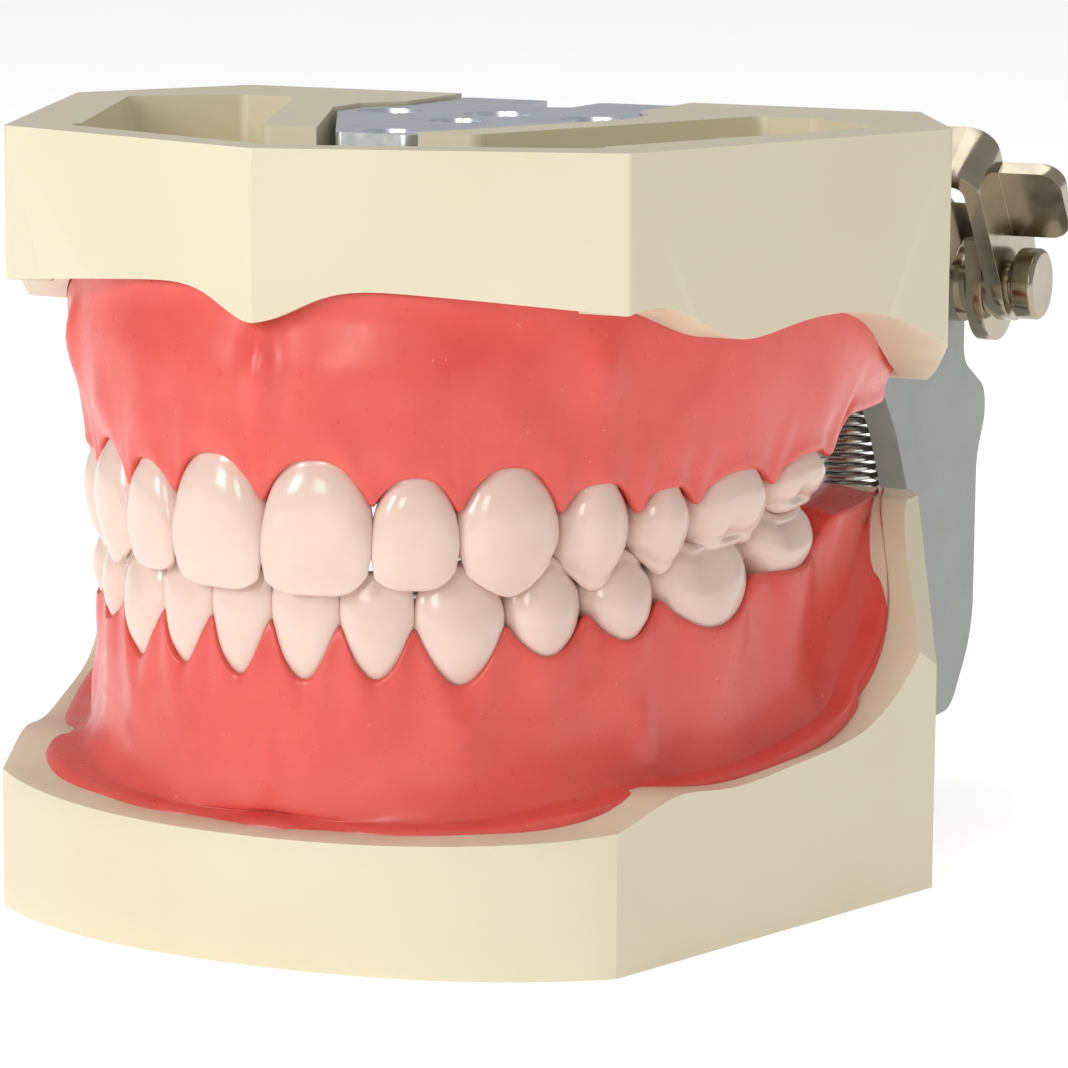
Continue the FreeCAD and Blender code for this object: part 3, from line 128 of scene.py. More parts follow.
def curve_through(stations, values, at):
    """Smooth interpolation (Catmull-Rom tangents) through (station, value) pairs."""
    stations, values = np.asarray(stations, float), np.asarray(values, float)
    slopes = np.gradient(values, stations)
    at = np.clip(at, stations[0], stations[-1])
    k = np.clip(np.searchsorted(stations, at, side="right") - 1, 0, len(stations) - 2)
    gap = stations[k + 1] - stations[k]
    t = (at - stations[k]) / gap
    t2, t3 = t * t, t * t * t
    return ((2 * t3 - 3 * t2 + 1) * values[k] + (t3 - 2 * t2 + t) * gap * slopes[k]
            + (3 * t2 - 2 * t3) * values[k + 1] + (t3 - t2) * gap * slopes[k + 1])


# ---- materials ----
def shader(name):
    """A new material with its nodes, its links and its Principled shader."""
    material = bpy.data.materials.new(name)
    material.use_nodes = True
    nodes, links = material.node_tree.nodes, material.node_tree.links
    principled = nodes["Principled BSDF"]
    return material, nodes, links, principled


def texture_place(nodes, links, scale):
    """Object coordinates times three scales."""
    place = nodes.new("ShaderNodeTexCoord")
    mapping = nodes.new("ShaderNodeMapping")
    mapping.inputs["Scale"].default_value = scale
    links.new(place.outputs["Object"], mapping.inputs["Vector"])
    return mapping.outputs["Vector"]


def noise(nodes, links, scale, detail=3.0, roughness=0.5, stretch=(1, 1, 1)):
    """Noise with about that many features per millimetre."""
    texture = nodes.new("ShaderNodeTexNoise")
    texture.inputs["Scale"].default_value = 1.0
    texture.inputs["Detail"].default_value = detail
    texture.inputs["Roughness"].default_value = roughness
    place = texture_place(nodes, links, [scale / MM * s for s in stretch])
    links.new(place, texture.inputs["Vector"])
    return texture.outputs["Fac"]


def ramp(nodes, links, value, stops):
    """A colour ramp over the value; stops are (position, colour)."""
    node = nodes.new("ShaderNodeValToRGB")
    elements = node.color_ramp.elements
    while len(elements) < len(stops):
        elements.new(0.5)
    for element, (position, colour) in zip(elements, stops):
        element.position = position
        element.color = tuple(colour) + (1.0,)
    links.new(value, node.inputs["Fac"])
    return node.outputs["Color"]


def grey_ramp(nodes, links, value, low, high, start=0.3, end=0.7):
    """A number that goes from low to high as the value goes from start to end."""
    return ramp(nodes, links, value, [(start, (low,) * 3), (end, (high,) * 3)])


def bump(nodes, links, principled, height, distance_mm, strength):
    """Fine relief from a height socket."""
    node = nodes.new("ShaderNodeBump")
    node.inputs["Distance"].default_value = distance_mm * MM
    node.inputs["Strength"].default_value = strength
    links.new(height, node.inputs["Height"])
    links.new(node.outputs["Normal"], principled.inputs["Normal"])


def srgb(r, g, b):
    """Linear colour of 8-bit screen values."""
    def linear(v):
        v /= 255.0
        return v / 12.92 if v <= 0.04045 else ((v + 0.055) / 1.055) ** 2.4
    return linear(r), linear(g), linear(b)


def mixed(nodes, links, factor, first, second):
    """Mixes two colours or sockets by a factor socket."""
    node = nodes.new("ShaderNodeMix")
    node.data_type = "RGBA"
    links.new(factor, node.inputs["Factor"])
    for socket, value in ((node.inputs["A"], first), (node.inputs["B"], second)):
        if hasattr(value, "is_output"):
            links.new(value, socket)
        else:
            socket.default_value = tuple(value) + (1.0,)
    return node.outputs["Result"]


def cream_plastic():
    material, nodes, links, principled = shader("cream_plastic")
    cloud = noise(nodes, links, 0.05, 2.0)
    colour = ramp(nodes, links, cloud, [(0.3, srgb(222, 212, 183)), (0.7, srgb(226, 217, 190))])
    links.new(colour, principled.inputs["Base Color"])
    fine = noise(nodes, links, 1.6, 4.0, 0.6)
    links.new(grey_ramp(nodes, links, fine, 0.33, 0.43), principled.inputs["Roughness"])
    grain = noise(nodes, links, 2.2, 3.0, 0.55)
    bump(nodes, links, principled, grain, 0.02, 0.5)
    principled.inputs["IOR"].default_value = 1.5
    principled.inputs["Subsurface Weight"].default_value = 0.08
    principled.inputs["Subsurface Radius"].default_value = (1.0, 0.8, 0.5)
    principled.inputs["Subsurface Scale"].default_value = 0.001
    return material


def gum_resin():
    material, nodes, links, principled = shader("gum_resin")
    cloud = noise(nodes, links, 0.13, 3.0, 0.55)
    colour = ramp(nodes, links, cloud, [(0.28, srgb(219, 77, 69)), (0.5, srgb(226, 88, 79)),
                                        (0.75, srgb(231, 99, 89))])
    speck = noise(nodes, links, 2.6, 1.0, 0.4)
    dots = grey_ramp(nodes, links, speck, 0.0, 0.8, 0.785, 0.81)
    colour = mixed(nodes, links, dots, colour, srgb(238, 150, 140))
    links.new(colour, principled.inputs["Base Color"])
    fine = noise(nodes, links, 0.7, 4.0, 0.6)
    links.new(grey_ramp(nodes, links, fine, 0.26, 0.38), principled.inputs["Roughness"])
    grain = noise(nodes, links, 0.9, 4.0, 0.55)
    bump(nodes, links, principled, grain, 0.05, 0.35)
    principled.inputs["Subsurface Weight"].default_value = 0.35
    principled.inputs["Subsurface Radius"].default_value = (1.0, 0.25, 0.18)
    principled.inputs["Subsurface Scale"].default_value = 0.0022
    principled.inputs["Coat Weight"].default_value = 0.12
    principled.inputs["Coat Roughness"].default_value = 0.2
    return material


def tooth_resin():
    material, nodes, links, principled = shader("tooth_resin")
    cloud = noise(nodes, links, 0.25, 2.0)
    colour = ramp(nodes, links, cloud, [(0.3, srgb(227, 200, 185)), (0.7, srgb(232, 207, 193))])
    links.new(colour, principled.inputs["Base Color"])
    fine = noise(nodes, links, 0.8, 3.0)
    links.new(grey_ramp(nodes, links, fine, 0.14, 0.22), principled.inputs["Roughness"])
    ripple = noise(nodes, links, 0.35, 2.0, 0.5, (1, 1, 2.5))
    bump(nodes, links, principled, ripple, 0.05, 0.35)
    principled.inputs["Subsurface Weight"].default_value = 0.2
    principled.inputs["Subsurface Radius"].default_value = (1.0, 0.7, 0.55)
    principled.inputs["Subsurface Scale"].default_value = 0.0015
    principled.inputs["Coat Weight"].default_value = 0.3
    principled.inputs["Coat Roughness"].default_value = 0.08
    return material


def metal(name, dark, light, rough_low, rough_high, scale=0.8, stretch=(1, 1, 1), depth=0.01):
    material, nodes, links, principled = shader(name)
    cloud = noise(nodes, links, scale * 0.3, 3.0)
    links.new(ramp(nodes, links, cloud, [(0.3, dark), (0.7, light)]),
              principled.inputs["Base Color"])
    principled.inputs["Metallic"].default_value = 1.0
    fine = noise(nodes, links, scale, 4.0, 0.6, stretch)
    links.new(grey_ramp(nodes, links, fine, rough_low, rough_high), principled.inputs["Roughness"])
    bump(nodes, links, principled, fine, depth, 0.5)
    return material


def arm_paint():
    material, nodes, links, principled = shader("arm_paint")
    cloud = noise(nodes, links, 0.2, 4.0)
    links.new(ramp(nodes, links, cloud, [(0.3, srgb(158, 163, 158)), (0.7, srgb(168, 172, 167))]),
              principled.inputs["Base Color"])
    fine = noise(nodes, links, 3.0, 4.0, 0.6)
    links.new(grey_ramp(nodes, links, fine, 0.45, 0.6), principled.inputs["Roughness"])
    bump(nodes, links, principled, fine, 0.03, 0.6)
    return material


# ---- dental arches and teeth ----
Arch = namedtuple("Arch", "half_width depth front_y")
UPPER_ARCH = Arch(32.4, 48.0, 1.3)
LOWER_ARCH = Arch(31.6, 44.0, 3.2)


ARCH_TURN = math.radians(150)  # how far round its ellipse an arch is walked
ARCH_POINTS = 4000


class ArchLine:
    """Points along an arch by walked distance from the midline; distances below 0 are on -X."""

    def __init__(self, arch):
        angle = np.linspace(0, ARCH_TURN, ARCH_POINTS)
        self.x = arch.half_width * np.sin(angle)
        self.y = arch.front_y + arch.depth * (1 - np.cos(angle))
        step = np.hypot(np.diff(self.x), np.diff(self.y))
        self.walked = np.concatenate([[0], np.cumsum(step)])
        self.tx = np.gradient(self.x, self.walked)
        self.ty = np.gradient(self.y, self.walked)

    def at(self, distance):
        """x, y and the inward direction at each signed distance."""
        distance = np.asarray(distance, float)
        side = np.where(distance < 0, -1.0, 1.0)
        d = np.abs(distance)
        x = np.interp(d, self.walked, self.x) * side
        y = np.interp(d, self.walked, self.y)
        tx = np.interp(d, self.walked, self.tx)
        ty = np.interp(d, self.walked, self.ty)
        length = np.hypot(tx, ty)
        return x, y, -ty / length * side, tx / length


# A tooth's crown: widths and depths in mm. neck and tip are heights at the middle of the outer
# face; papilla is the height of the gum at its far (distal) side. Incisors and canines have
# (mesial corner drop, distal corner drop, squareness) as cusps; the others have
# (angle in degrees, height, spread in degrees), with 270 the outer face and 0 the distal side.
Tooth = namedtuple("Tooth", "name form width depth neck tip papilla cusps pit")
UPPER_TEETH = (
    Tooth("central_incisor", "incisor", 9.2, 6.6, 40.6, 29.8, 36.6, (0.9, 1.5, 4.5), 0),
    Tooth("lateral_incisor", "incisor", 7.1, 5.8, 39.3, 30.3, 36.0, (0.8, 1.4, 3.5), 0),
    Tooth("canine", "canine", 8.7, 7.6, 39.9, 29.5, 35.6, (1.7, 2.3, 1.7), 0),
    Tooth("first_premolar", "premolar", 7.5, 8.8, 38.2, 29.3, 35.0,
          ((270, 2.0, 44), (90, 1.2, 40)), 1.6),
    Tooth("second_premolar", "premolar", 6.4, 8.8, 37.3, 30.0, 35.2,
          ((270, 1.7, 44), (90, 1.2, 40)), 1.6),
    Tooth("first_molar", "molar", 10.2, 10.6, 37.9, 30.8, 35.8,
          ((245, 0.7, 44), (300, 0.5, 40), (135, 1.1, 30), (48, 0.7, 26)), 0.9),
    Tooth("second_molar", "molar", 9.4, 10.4, 38.2, 32.8, 37.2,
          ((245, 0.6, 44), (300, 0.4, 40), (135, 1.0, 30), (48, 0.5, 26)), 0.8),
)
LOWER_TEETH = (
    Tooth("central_incisor", "incisor", 5.8, 5.2, 22.8, 31.6, 27.9, (0.5, 0.7, 5.0), 0),
    Tooth("lateral_incisor", "incisor", 6.0, 5.4, 23.0, 31.6, 27.6, (0.5, 0.9, 4.0), 0),
    Tooth("canine", "canine", 7.5, 6.8, 22.5, 32.2, 27.5, (1.2, 1.8, 1.7), 0),
    Tooth("first_premolar", "premolar", 7.3, 7.6, 24.5, 32.6, 27.8,
          ((270, 1.6, 42), (90, 0.5, 36)), 1.5),
    Tooth("second_premolar", "premolar", 7.4, 8.2, 25.2, 32.4, 28.2,
          ((270, 1.3, 42), (90, 0.9, 36)), 1.5),
    Tooth("first_molar", "molar", 11.6, 10.0, 25.2, 33.0, 28.8,
          ((222, 1.1, 28), (288, 1.0, 26), (335, 0.6, 18), (132, 1.2, 28), (52, 1.1, 26)), 1.4),
    Tooth("second_molar", "molar", 10.4, 9.8, 28.6, 34.2, 30.6,
          ((222, 1.0, 28), (310, 0.9, 26), (132, 1.1, 28), (52, 1.0, 26)), 1.4),
)

# Crown profiles from neck (0) to edge (1), as shares of the width or depth.
Profile = namedtuple("Profile", "heights half_width facial lingual contact power shoulder")
PROFILES = {
    "incisor": Profile((0, .15, .35, .6, .82, 1), (.335, .395, .455, .492, .490, .460),
                       (.06, -.045, -.095, -.085, -.03, .045), (.88, .84, .70, .46, .31, .25),
                       .26, (2.3, 2.0), .45),
    "canine": Profile((0, .15, .35, .6, .82, 1), (.34, .40, .465, .496, .475, .415),
                      (.06, -.04, -.10, -.085, -.02, .06), (.90, .88, .76, .52, .36, .29),
                      .28, (2.1, 2.0), .55),
    "premolar": Profile((0, .2, .45, .7, .9, 1), (.36, .43, .480, .496, .47, .42),
                        (.02, -.045, -.065, -.02, .05, .11), (.92, .97, 1.0, .98, .92, .87),
                        .44, (2.2, 2.2), .8),
    "molar": Profile((0, .2, .45, .7, .9, 1), (.41, .45, .485, .494, .47, .44),
                     (.01, -.03, -.05, -.02, .03, .075), (.94, .98, 1.0, .98, .94, .89),
                     .46, (2.7, 2.6), .9),
}
RING = 64                      # points round an outline
CROWN_ROWS = 22                # outlines from neck to shoulder
ROOT_STUB = ((7.0, .55), (4.5, .80), (2.2, .94))   # depth in the gum, share of the neck's size
STUB_MIDDLE = 0.48             # of the tooth's depth, inwards of its outer face
NECK_DIP = 0.9                 # the neck line reaches this much further out between teeth
GROOVE_ANGLE = 266             # a molar's outer face has one shallow groove
GROOVE_SPREAD = 9
GROOVE_DEPTH = 0.045           # of the tooth's depth
SHOULDER_ROWS = 6              # outlines round the quarter turn from the sides to the top
SHOULDER_LIMIT = 0.9           # of half the outline's depth
PIT_ROWS = 12
EDGE_ROWS = 4
PIT_SHARE = 0.55               # of its nominal depth, below the lowest of the edge
FISSURE_DEPTH = 0.35
FISSURE_HALF_WIDTH = 0.45
FISSURE_REACH = 0.6            # of the outline's half width


def crown_outline(tooth, share, angle):
    """u along the arch and n inwards of it for an outline at that share of the crown's height."""
    profile = PROFILES[tooth.form]
    half = curve_through(profile.heights, profile.half_width, share) * tooth.width
    facial = curve_through(profile.heights, profile.facial, share) * tooth.depth
    lingual = curve_through(profile.heights, profile.lingual, share) * tooth.depth
    contact = profile.contact * tooth.depth * np.ones_like(half)
    contact = np.minimum(contact, facial * 0.5 + lingual * 0.5)
    c, s = np.cos(angle), np.sin(angle)
    power = np.where(s > 0, profile.power[1], profile.power[0])
    u = half * np.sign(c) * np.abs(c) ** (2 / power)
    reach = np.where(s > 0, lingual - contact, contact - facial)
    n = contact + reach * np.sign(s) * np.abs(s) ** (2 / power)
    return u, n


def cusp_heights(tooth, angle):
    """How far each direction's edge stands above the lowest, from the tooth's cusps."""
    degrees = np.degrees(angle) % 360
    total = np.zeros_like(degrees)
    for at, height, spread in tooth.cusps:
        away = np.abs((degrees - at + 180) % 360 - 180)
        total = np.maximum(total, height * np.exp(-(away / spread) ** 2))
    return total


def crown_mesh(tooth, down):
    """Points (u, n, z) of one crown with a short root, and its faces. down is True for uppers."""
    sign = -1.0 if down else 1.0
    angle = np.linspace(0, 2 * math.pi, RING, endpoint=False)
    length = abs(tooth.tip - tooth.neck)
    profile = PROFILES[tooth.form]
    if tooth.pit:
        lift = cusp_heights(tooth, angle)
        edge = length - lift.max() + lift
    else:
        mesial, distal, square = tooth.cusps
        across = np.sign(np.cos(angle)) * np.abs(np.cos(angle)) ** (2 / profile.power[0])
        drop = np.where(across > 0, distal, mesial)
        edge = length - drop * np.abs(across) ** square
    side_dip = NECK_DIP * np.abs(np.cos(angle)) ** 1.5
    rings = []
    for depth, shrink in ROOT_STUB:
        u, n = crown_outline(tooth, np.zeros(RING), angle)
        middle = tooth.depth * STUB_MIDDLE
        rings.append((u * shrink, middle + (n - middle) * shrink, side_dip - depth))
    shoulder = profile.shoulder
    for k in range(CROWN_ROWS + 1):
        share = k / CROWN_ROWS
        u, n = crown_outline(tooth, np.full(RING, share), angle)
        if tooth.form == "molar":
            groove = np.exp(-((np.degrees(angle) - GROOVE_ANGLE) / GROOVE_SPREAD) ** 2)
            n = n + groove * GROOVE_DEPTH * share ** 1.5 * tooth.depth
        base = side_dip * (1 - share) ** 2
        rings.append((u, n, base + (edge - shoulder) * share))
    u0, n0 = crown_outline(tooth, np.ones(RING), angle)
    half_depth = (n0.max() - n0.min()) / 2
    middle_n = (n0.max() + n0.min()) / 2
    half_width = np.abs(u0).max()
    limit = min(shoulder, half_depth * SHOULDER_LIMIT)
    for k in range(1, SHOULDER_ROWS + 1):
        turn = math.pi / 2 * k / SHOULDER_ROWS
        inset = limit * (1 - math.cos(turn))
        rings.append((u0 * (1 - inset / half_width),
                      middle_n + (n0 - middle_n) * (1 - inset / half_depth),
                      edge - shoulder + shoulder * math.sin(turn)))
    u1, n1 = rings[-1][:2]
    steps = PIT_ROWS if tooth.pit else EDGE_ROWS
    centre_z = edge.min() - tooth.pit * PIT_SHARE if tooth.pit else edge.mean()
    for k in range(1, steps):
        r = 1 - k / steps
        soft = r * r * (3 - 2 * r) if tooth.pit else 1 - (1 - r) ** 2
        z = centre_z + (edge - centre_z) * soft
        u, n = u1 * r, middle_n + (n1 - middle_n) * r
        if tooth.pit:
            across = np.exp(-((n - middle_n) / FISSURE_HALF_WIDTH) ** 2)
            along = np.exp(-(u / (half_width * FISSURE_REACH)) ** 4)
            z = z - FISSURE_DEPTH * across * along
        rings.append((u, n, z))
    points = [np.stack([u, n, z], axis=1) for u, n, z in rings]
    centre_drop = FISSURE_DEPTH if tooth.pit else 0
    points.append(np.array([[0.0, middle_n, centre_z - centre_drop]]))
    rows = len(rings)
    points = np.concatenate(points)
    points[:, 2] = tooth.neck + sign * points[:, 2]
    faces = grid_faces(rows, RING, closed_columns=True)
    last = rows * RING
    faces += [(last - RING + j, last - RING + (j + 1) % RING, last) for j in range(RING)]
    faces.append(tuple(range(RING - 1, -1, -1)))
    return points, faces


def make_teeth(jaw, arch, teeth, material):
    """One crown mesh per tooth on both sides of the jaw, in place of the CAD teeth."""
    line = ArchLine(arch)
    start = 0.0
    for tooth in teeth:
        middle = start + tooth.width / 2
        start += tooth.width
        points, faces = crown_mesh(tooth, jaw == "upper")
        for side, word in ((1, "left"), (-1, "right")):
            x, y, nx, ny = line.at(side * middle)
            along_x, along_y = ny * side, -nx * side
            placed = np.empty_like(points)
            placed[:, 0] = x + points[:, 0] * along_x + points[:, 1] * nx
            placed[:, 1] = y + points[:, 0] * along_y + points[:, 1] * ny
            placed[:, 2] = points[:, 2]
            node = f"{jaw}_{word}_{tooth.name}"
            piece = make_mesh(node + "_crown", placed, faces, material)
            outward(piece)
            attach(piece, jaw + "_jaw")
            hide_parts(node)


# ---- gums ----
# Plan curves around each jaw: half width, depth and front of a half ellipse, as for the arches.
GUM_SEAT_ARCH = Arch(36.7, 51.0, 2.4)
GUM_REAR_Y = 55.0
LOWER_GUM_REAR_Y = 59.0
STATION_STEP = 0.3
UPPER_RIM_Z = 53.3
LOWER_RIM_Z = 10.8
SEAT_DEPTH = 1.2
SEAT_LIMIT = 3.9              # the upper gum's seat reaches at most this far outwards of the arch
EMINENCE = {"incisor": 0.22, "canine": 0.5, "premolar": 0.2, "molar": 0.2}
EMINENCE_SPREAD = 0.30        # of the tooth's width
MARGIN_LIMIT = 0.45           # the gum covers at most this share of a crown
EMBRASURE_LIMIT = -0.9        # the outer wall goes at most this far in between two teeth
PAD_RISE = 3.0                # length over which the gum rises behind the last molar
PAD_OUTER = (-1.5, 1.2)       # where its outer face starts there, and how far outwards it comes
PAD_INNER = -7.5
# How far each face is smoothed along the arch, in mm.
OUTER_SOFT = 0.35
WALL_SOFT = 2.2
INNER_SOFT = 0.5
MARGIN_SOFT = 0.25
SWELL_SOFT = 0.4
BACK_SOFT = 0.6
DEEP_SOFT = 2.5

Row = namedtuple("Row", "x y nx ny margin base outer wall inner lining swell back")


def reach_of_ellipse(arch, x, y, nx, ny):
    """How far outwards from each point the ellipse lies, along the outward normal."""
    a, b = arch.half_width, arch.depth
    cy = arch.front_y + arch.depth
    qa = (nx / a) ** 2 + (ny / b) ** 2
    qb = 2 * (x * nx / a ** 2 + (y - cy) * ny / b ** 2)
    qc = (x / a) ** 2 + ((y - cy) / b) ** 2 - 1
    return (-qb + np.sqrt(np.maximum(qb * qb - 4 * qa * qc, 0))) / (2 * qa)


def smooth_along(values, sigma):
    """Gaussian smoothing along the stations, sigma in mm."""
    half = int(3 * sigma / STATION_STEP) + 1
    kernel = np.exp(-0.5 * (np.arange(-half, half + 1) * STATION_STEP / sigma) ** 2)
    kernel /= kernel.sum()
    padded = np.concatenate([np.full(half, values[0]), values, np.full(half, values[-1])])
    return np.convolve(padded, kernel, mode="valid")


def hump(stations, at, width):
    """1 at that distance from the midline on both sides, falling off over the width."""
    return np.exp(-((np.abs(stations) - at) / width) ** 2)


def gum_row(stations, arch, teeth, midline_papilla, end_height, scallop, inner_limit):
    """At each station the place and outward direction, the gum's margin and the teeth's outer
    and inner faces, with wall, lining and base as much smoother copies, the bulge over the
    roots, and back, which is 1 behind the last molar."""
    line = ArchLine(arch)
    x, y, nx, ny = line.at(stations)
    d = np.abs(stations)
    height, outer, inner, swell = np.zeros((4, len(stations)))
    start, before = 0.0, midline_papilla
    for tooth in teeth:
        half = tooth.width / 2
        middle = start + half
        start += tooth.width
        mx, my, mnx, mny = (float(v) for v in line.at(middle))
        along = (mny, -mnx)
        px, py = np.abs(x) - mx, y - my
        u = px * along[0] + py * along[1]
        sag = px * mnx + py * mny
        inside = (d >= middle - half) & (d < middle + half)
        t = np.clip((d - middle) / half, -1, 1)
        ends = np.where(t < 0, before, tooth.papilla)
        margin = tooth.neck + (ends - tooth.neck) * np.abs(t) ** scallop
        share = np.clip((margin - tooth.neck) / (tooth.tip - tooth.neck), 0, MARGIN_LIMIT)
        profile = PROFILES[tooth.form]
        half_u = curve_through(profile.heights, profile.half_width, share) * tooth.width
        facial = curve_through(profile.heights, profile.facial, share) * tooth.depth
        lingual = curve_through(profile.heights, profile.lingual, share) * tooth.depth
        contact = np.minimum(profile.contact * tooth.depth, (facial + lingual) / 2)
        part = np.clip(np.abs(u) / half_u, 0, 0.995)
        front_face = contact - (contact - facial) * (1 - part ** profile.power[0]) ** (
            1 / profile.power[0])
        back_face = contact + (lingual - contact) * (1 - part ** profile.power[1]) ** (
            1 / profile.power[1])
        height = np.where(inside, margin, height)
        outer = np.where(inside, sag - front_face, outer)
        inner = np.where(inside, sag - back_face, inner)
        away = (d - middle) / (EMINENCE_SPREAD * tooth.width)
        swell += EMINENCE[tooth.form] * np.exp(-away ** 2)
        before = tooth.papilla
    beyond = d >= start
    last = teeth[-1]
    rise = np.clip((d - start) / PAD_RISE, 0, 1)
    rise = rise * rise * (3 - 2 * rise)
    height = np.where(beyond, last.papilla + (end_height - last.papilla) * rise, height)
    outer = np.where(beyond, PAD_OUTER[0] + PAD_OUTER[1] * rise, outer)
    inner = np.where(beyond, PAD_INNER, inner)
    margin = smooth_along(height, MARGIN_SOFT)
    outer = smooth_along(np.maximum(outer, EMBRASURE_LIMIT), OUTER_SOFT)
    inner = smooth_along(np.maximum(inner, inner_limit), INNER_SOFT)
    return Row(x, y, -nx, -ny, margin, smooth_along(margin, DEEP_SOFT), outer,
               smooth_along(outer, WALL_SOFT), inner, smooth_along(inner, DEEP_SOFT),
               smooth_along(swell, SWELL_SOFT),
               smooth_along(np.where(beyond, 1.0, 0.0), BACK_SOFT))


def stand_up(rows, row):
    """Points of every level at every station from (offset, height) rows."""
    points = np.empty(rows.shape[:2] + (3,))
    points[..., 0] = row.x + rows[..., 0] * row.nx
    points[..., 1] = row.y + rows[..., 0] * row.ny
    points[..., 2] = rows[..., 1]
    return points


def spline_levels(controls, per):
    """Catmull-Rom through control profiles (K, S, 2), with that many steps in each gap."""
    controls = np.asarray(controls)
    rows = []
    count = len(controls)
    for k in range(count - 1):
        p0 = controls[max(k - 1, 0)]
        p1, p2 = controls[k], controls[k + 1]
        p3 = controls[min(k + 2, count - 1)]
        for step in range(per[k]):
            t = step / per[k]
            rows.append(0.5 * (2 * p1 + (p2 - p0) * t + (2 * p0 - 5 * p1 + 4 * p2 - p3) * t * t
                               + (3 * p1 - p0 - 3 * p2 + p3) * t ** 3))
    rows.append(controls[-1])
    return np.array(rows)


def gum_stations(arch, rear_y):
    """Distances along the arch from one end of the gum to the other."""
    line = ArchLine(arch)
    turn = math.acos(1 - (rear_y - arch.front_y) / arch.depth)
    end = float(np.interp(turn, np.linspace(0, ARCH_TURN, ARCH_POINTS), line.walked))
    count = int(round(end / STATION_STEP))
    return np.arange(-count, count + 1) * STATION_STEP


def level(offset, height):
    """One line along the gum: how far outwards of the arch, and how high, at each station."""
    offset = np.asarray(offset, float) + np.zeros_like(height)
    return np.stack([offset, height + np.zeros_like(offset)], axis=1)


def close_gum(name, points, material, body, node):
    """points is (levels, stations, 3), closed round the levels; the two ends are capped."""
    levels, count = points.shape[:2]
    faces = grid_faces(levels, count, closed_rows=True)
    flat = points.reshape(-1, 3)
    for column in (0, count - 1):
        ring = [k * count + column for k in range(levels)]
        faces.append(tuple(ring))
    piece = make_mesh(name, flat, faces, material)
    outward(piece)
    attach(piece, body)
    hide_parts(node)
    return piece


PALATE_FRONT_Y = 17.0         # the vault's middle line starts here
PALATE_ROWS = 14
VAULT_DEPTH = 2.6             # below the seat
RUGAE_HEIGHT = 0.35
RUGAE_PER_MM = 1.5            # radians along the midline
RUGAE_SLANT = 0.35            # and sideways
RUGAE_END_Y = 26.0
RUGAE_FADE = 6.0
RAPHE_HEIGHT = 0.25
RAPHE_HALF_WIDTH = 0.7
RAPHE_START_Y = 14.0
RAPHE_FADE = 4.0
TOP_ROWS = 4


def palate(rim, stations, vault_z):
    """Rows from the gum's inner rim inwards to the midline, with the rugae and the raphe."""
    middle_y = PALATE_FRONT_Y + (GUM_REAR_Y - PALATE_FRONT_Y) * (
        np.abs(stations) / stations[-1]) ** 1.6
    rows = []
    for k in range(1, PALATE_ROWS + 1):
        t = k / PALATE_ROWS
        row = rim.copy()
        row[:, 0] = rim[:, 0] * (1 - t)
        row[:, 1] = rim[:, 1] * (1 - t) + middle_y * t
        soft = math.sin(t * math.pi / 2)
        row[:, 2] = rim[:, 2] + (vault_z - rim[:, 2]) * soft
        aside = np.abs(row[:, 0])
        waves = np.sin(row[:, 1] * RUGAE_PER_MM + aside * RUGAE_SLANT)
        fade = np.clip((RUGAE_END_Y - row[:, 1]) / RUGAE_FADE, 0, 1)
        rugae = waves * fade * math.sin(math.pi * t) * np.clip(aside / 2.0, 0, 1)
        row[:, 2] -= RUGAE_HEIGHT * np.clip(rugae, 0, 1)
        raphe = np.exp(-(row[:, 0] / RAPHE_HALF_WIDTH) ** 2)
        row[:, 2] -= RAPHE_HEIGHT * raphe * np.clip((row[:, 1] - RAPHE_START_Y) / RAPHE_FADE, 0, 1)
        rows.append(row)
    return np.array(rows)


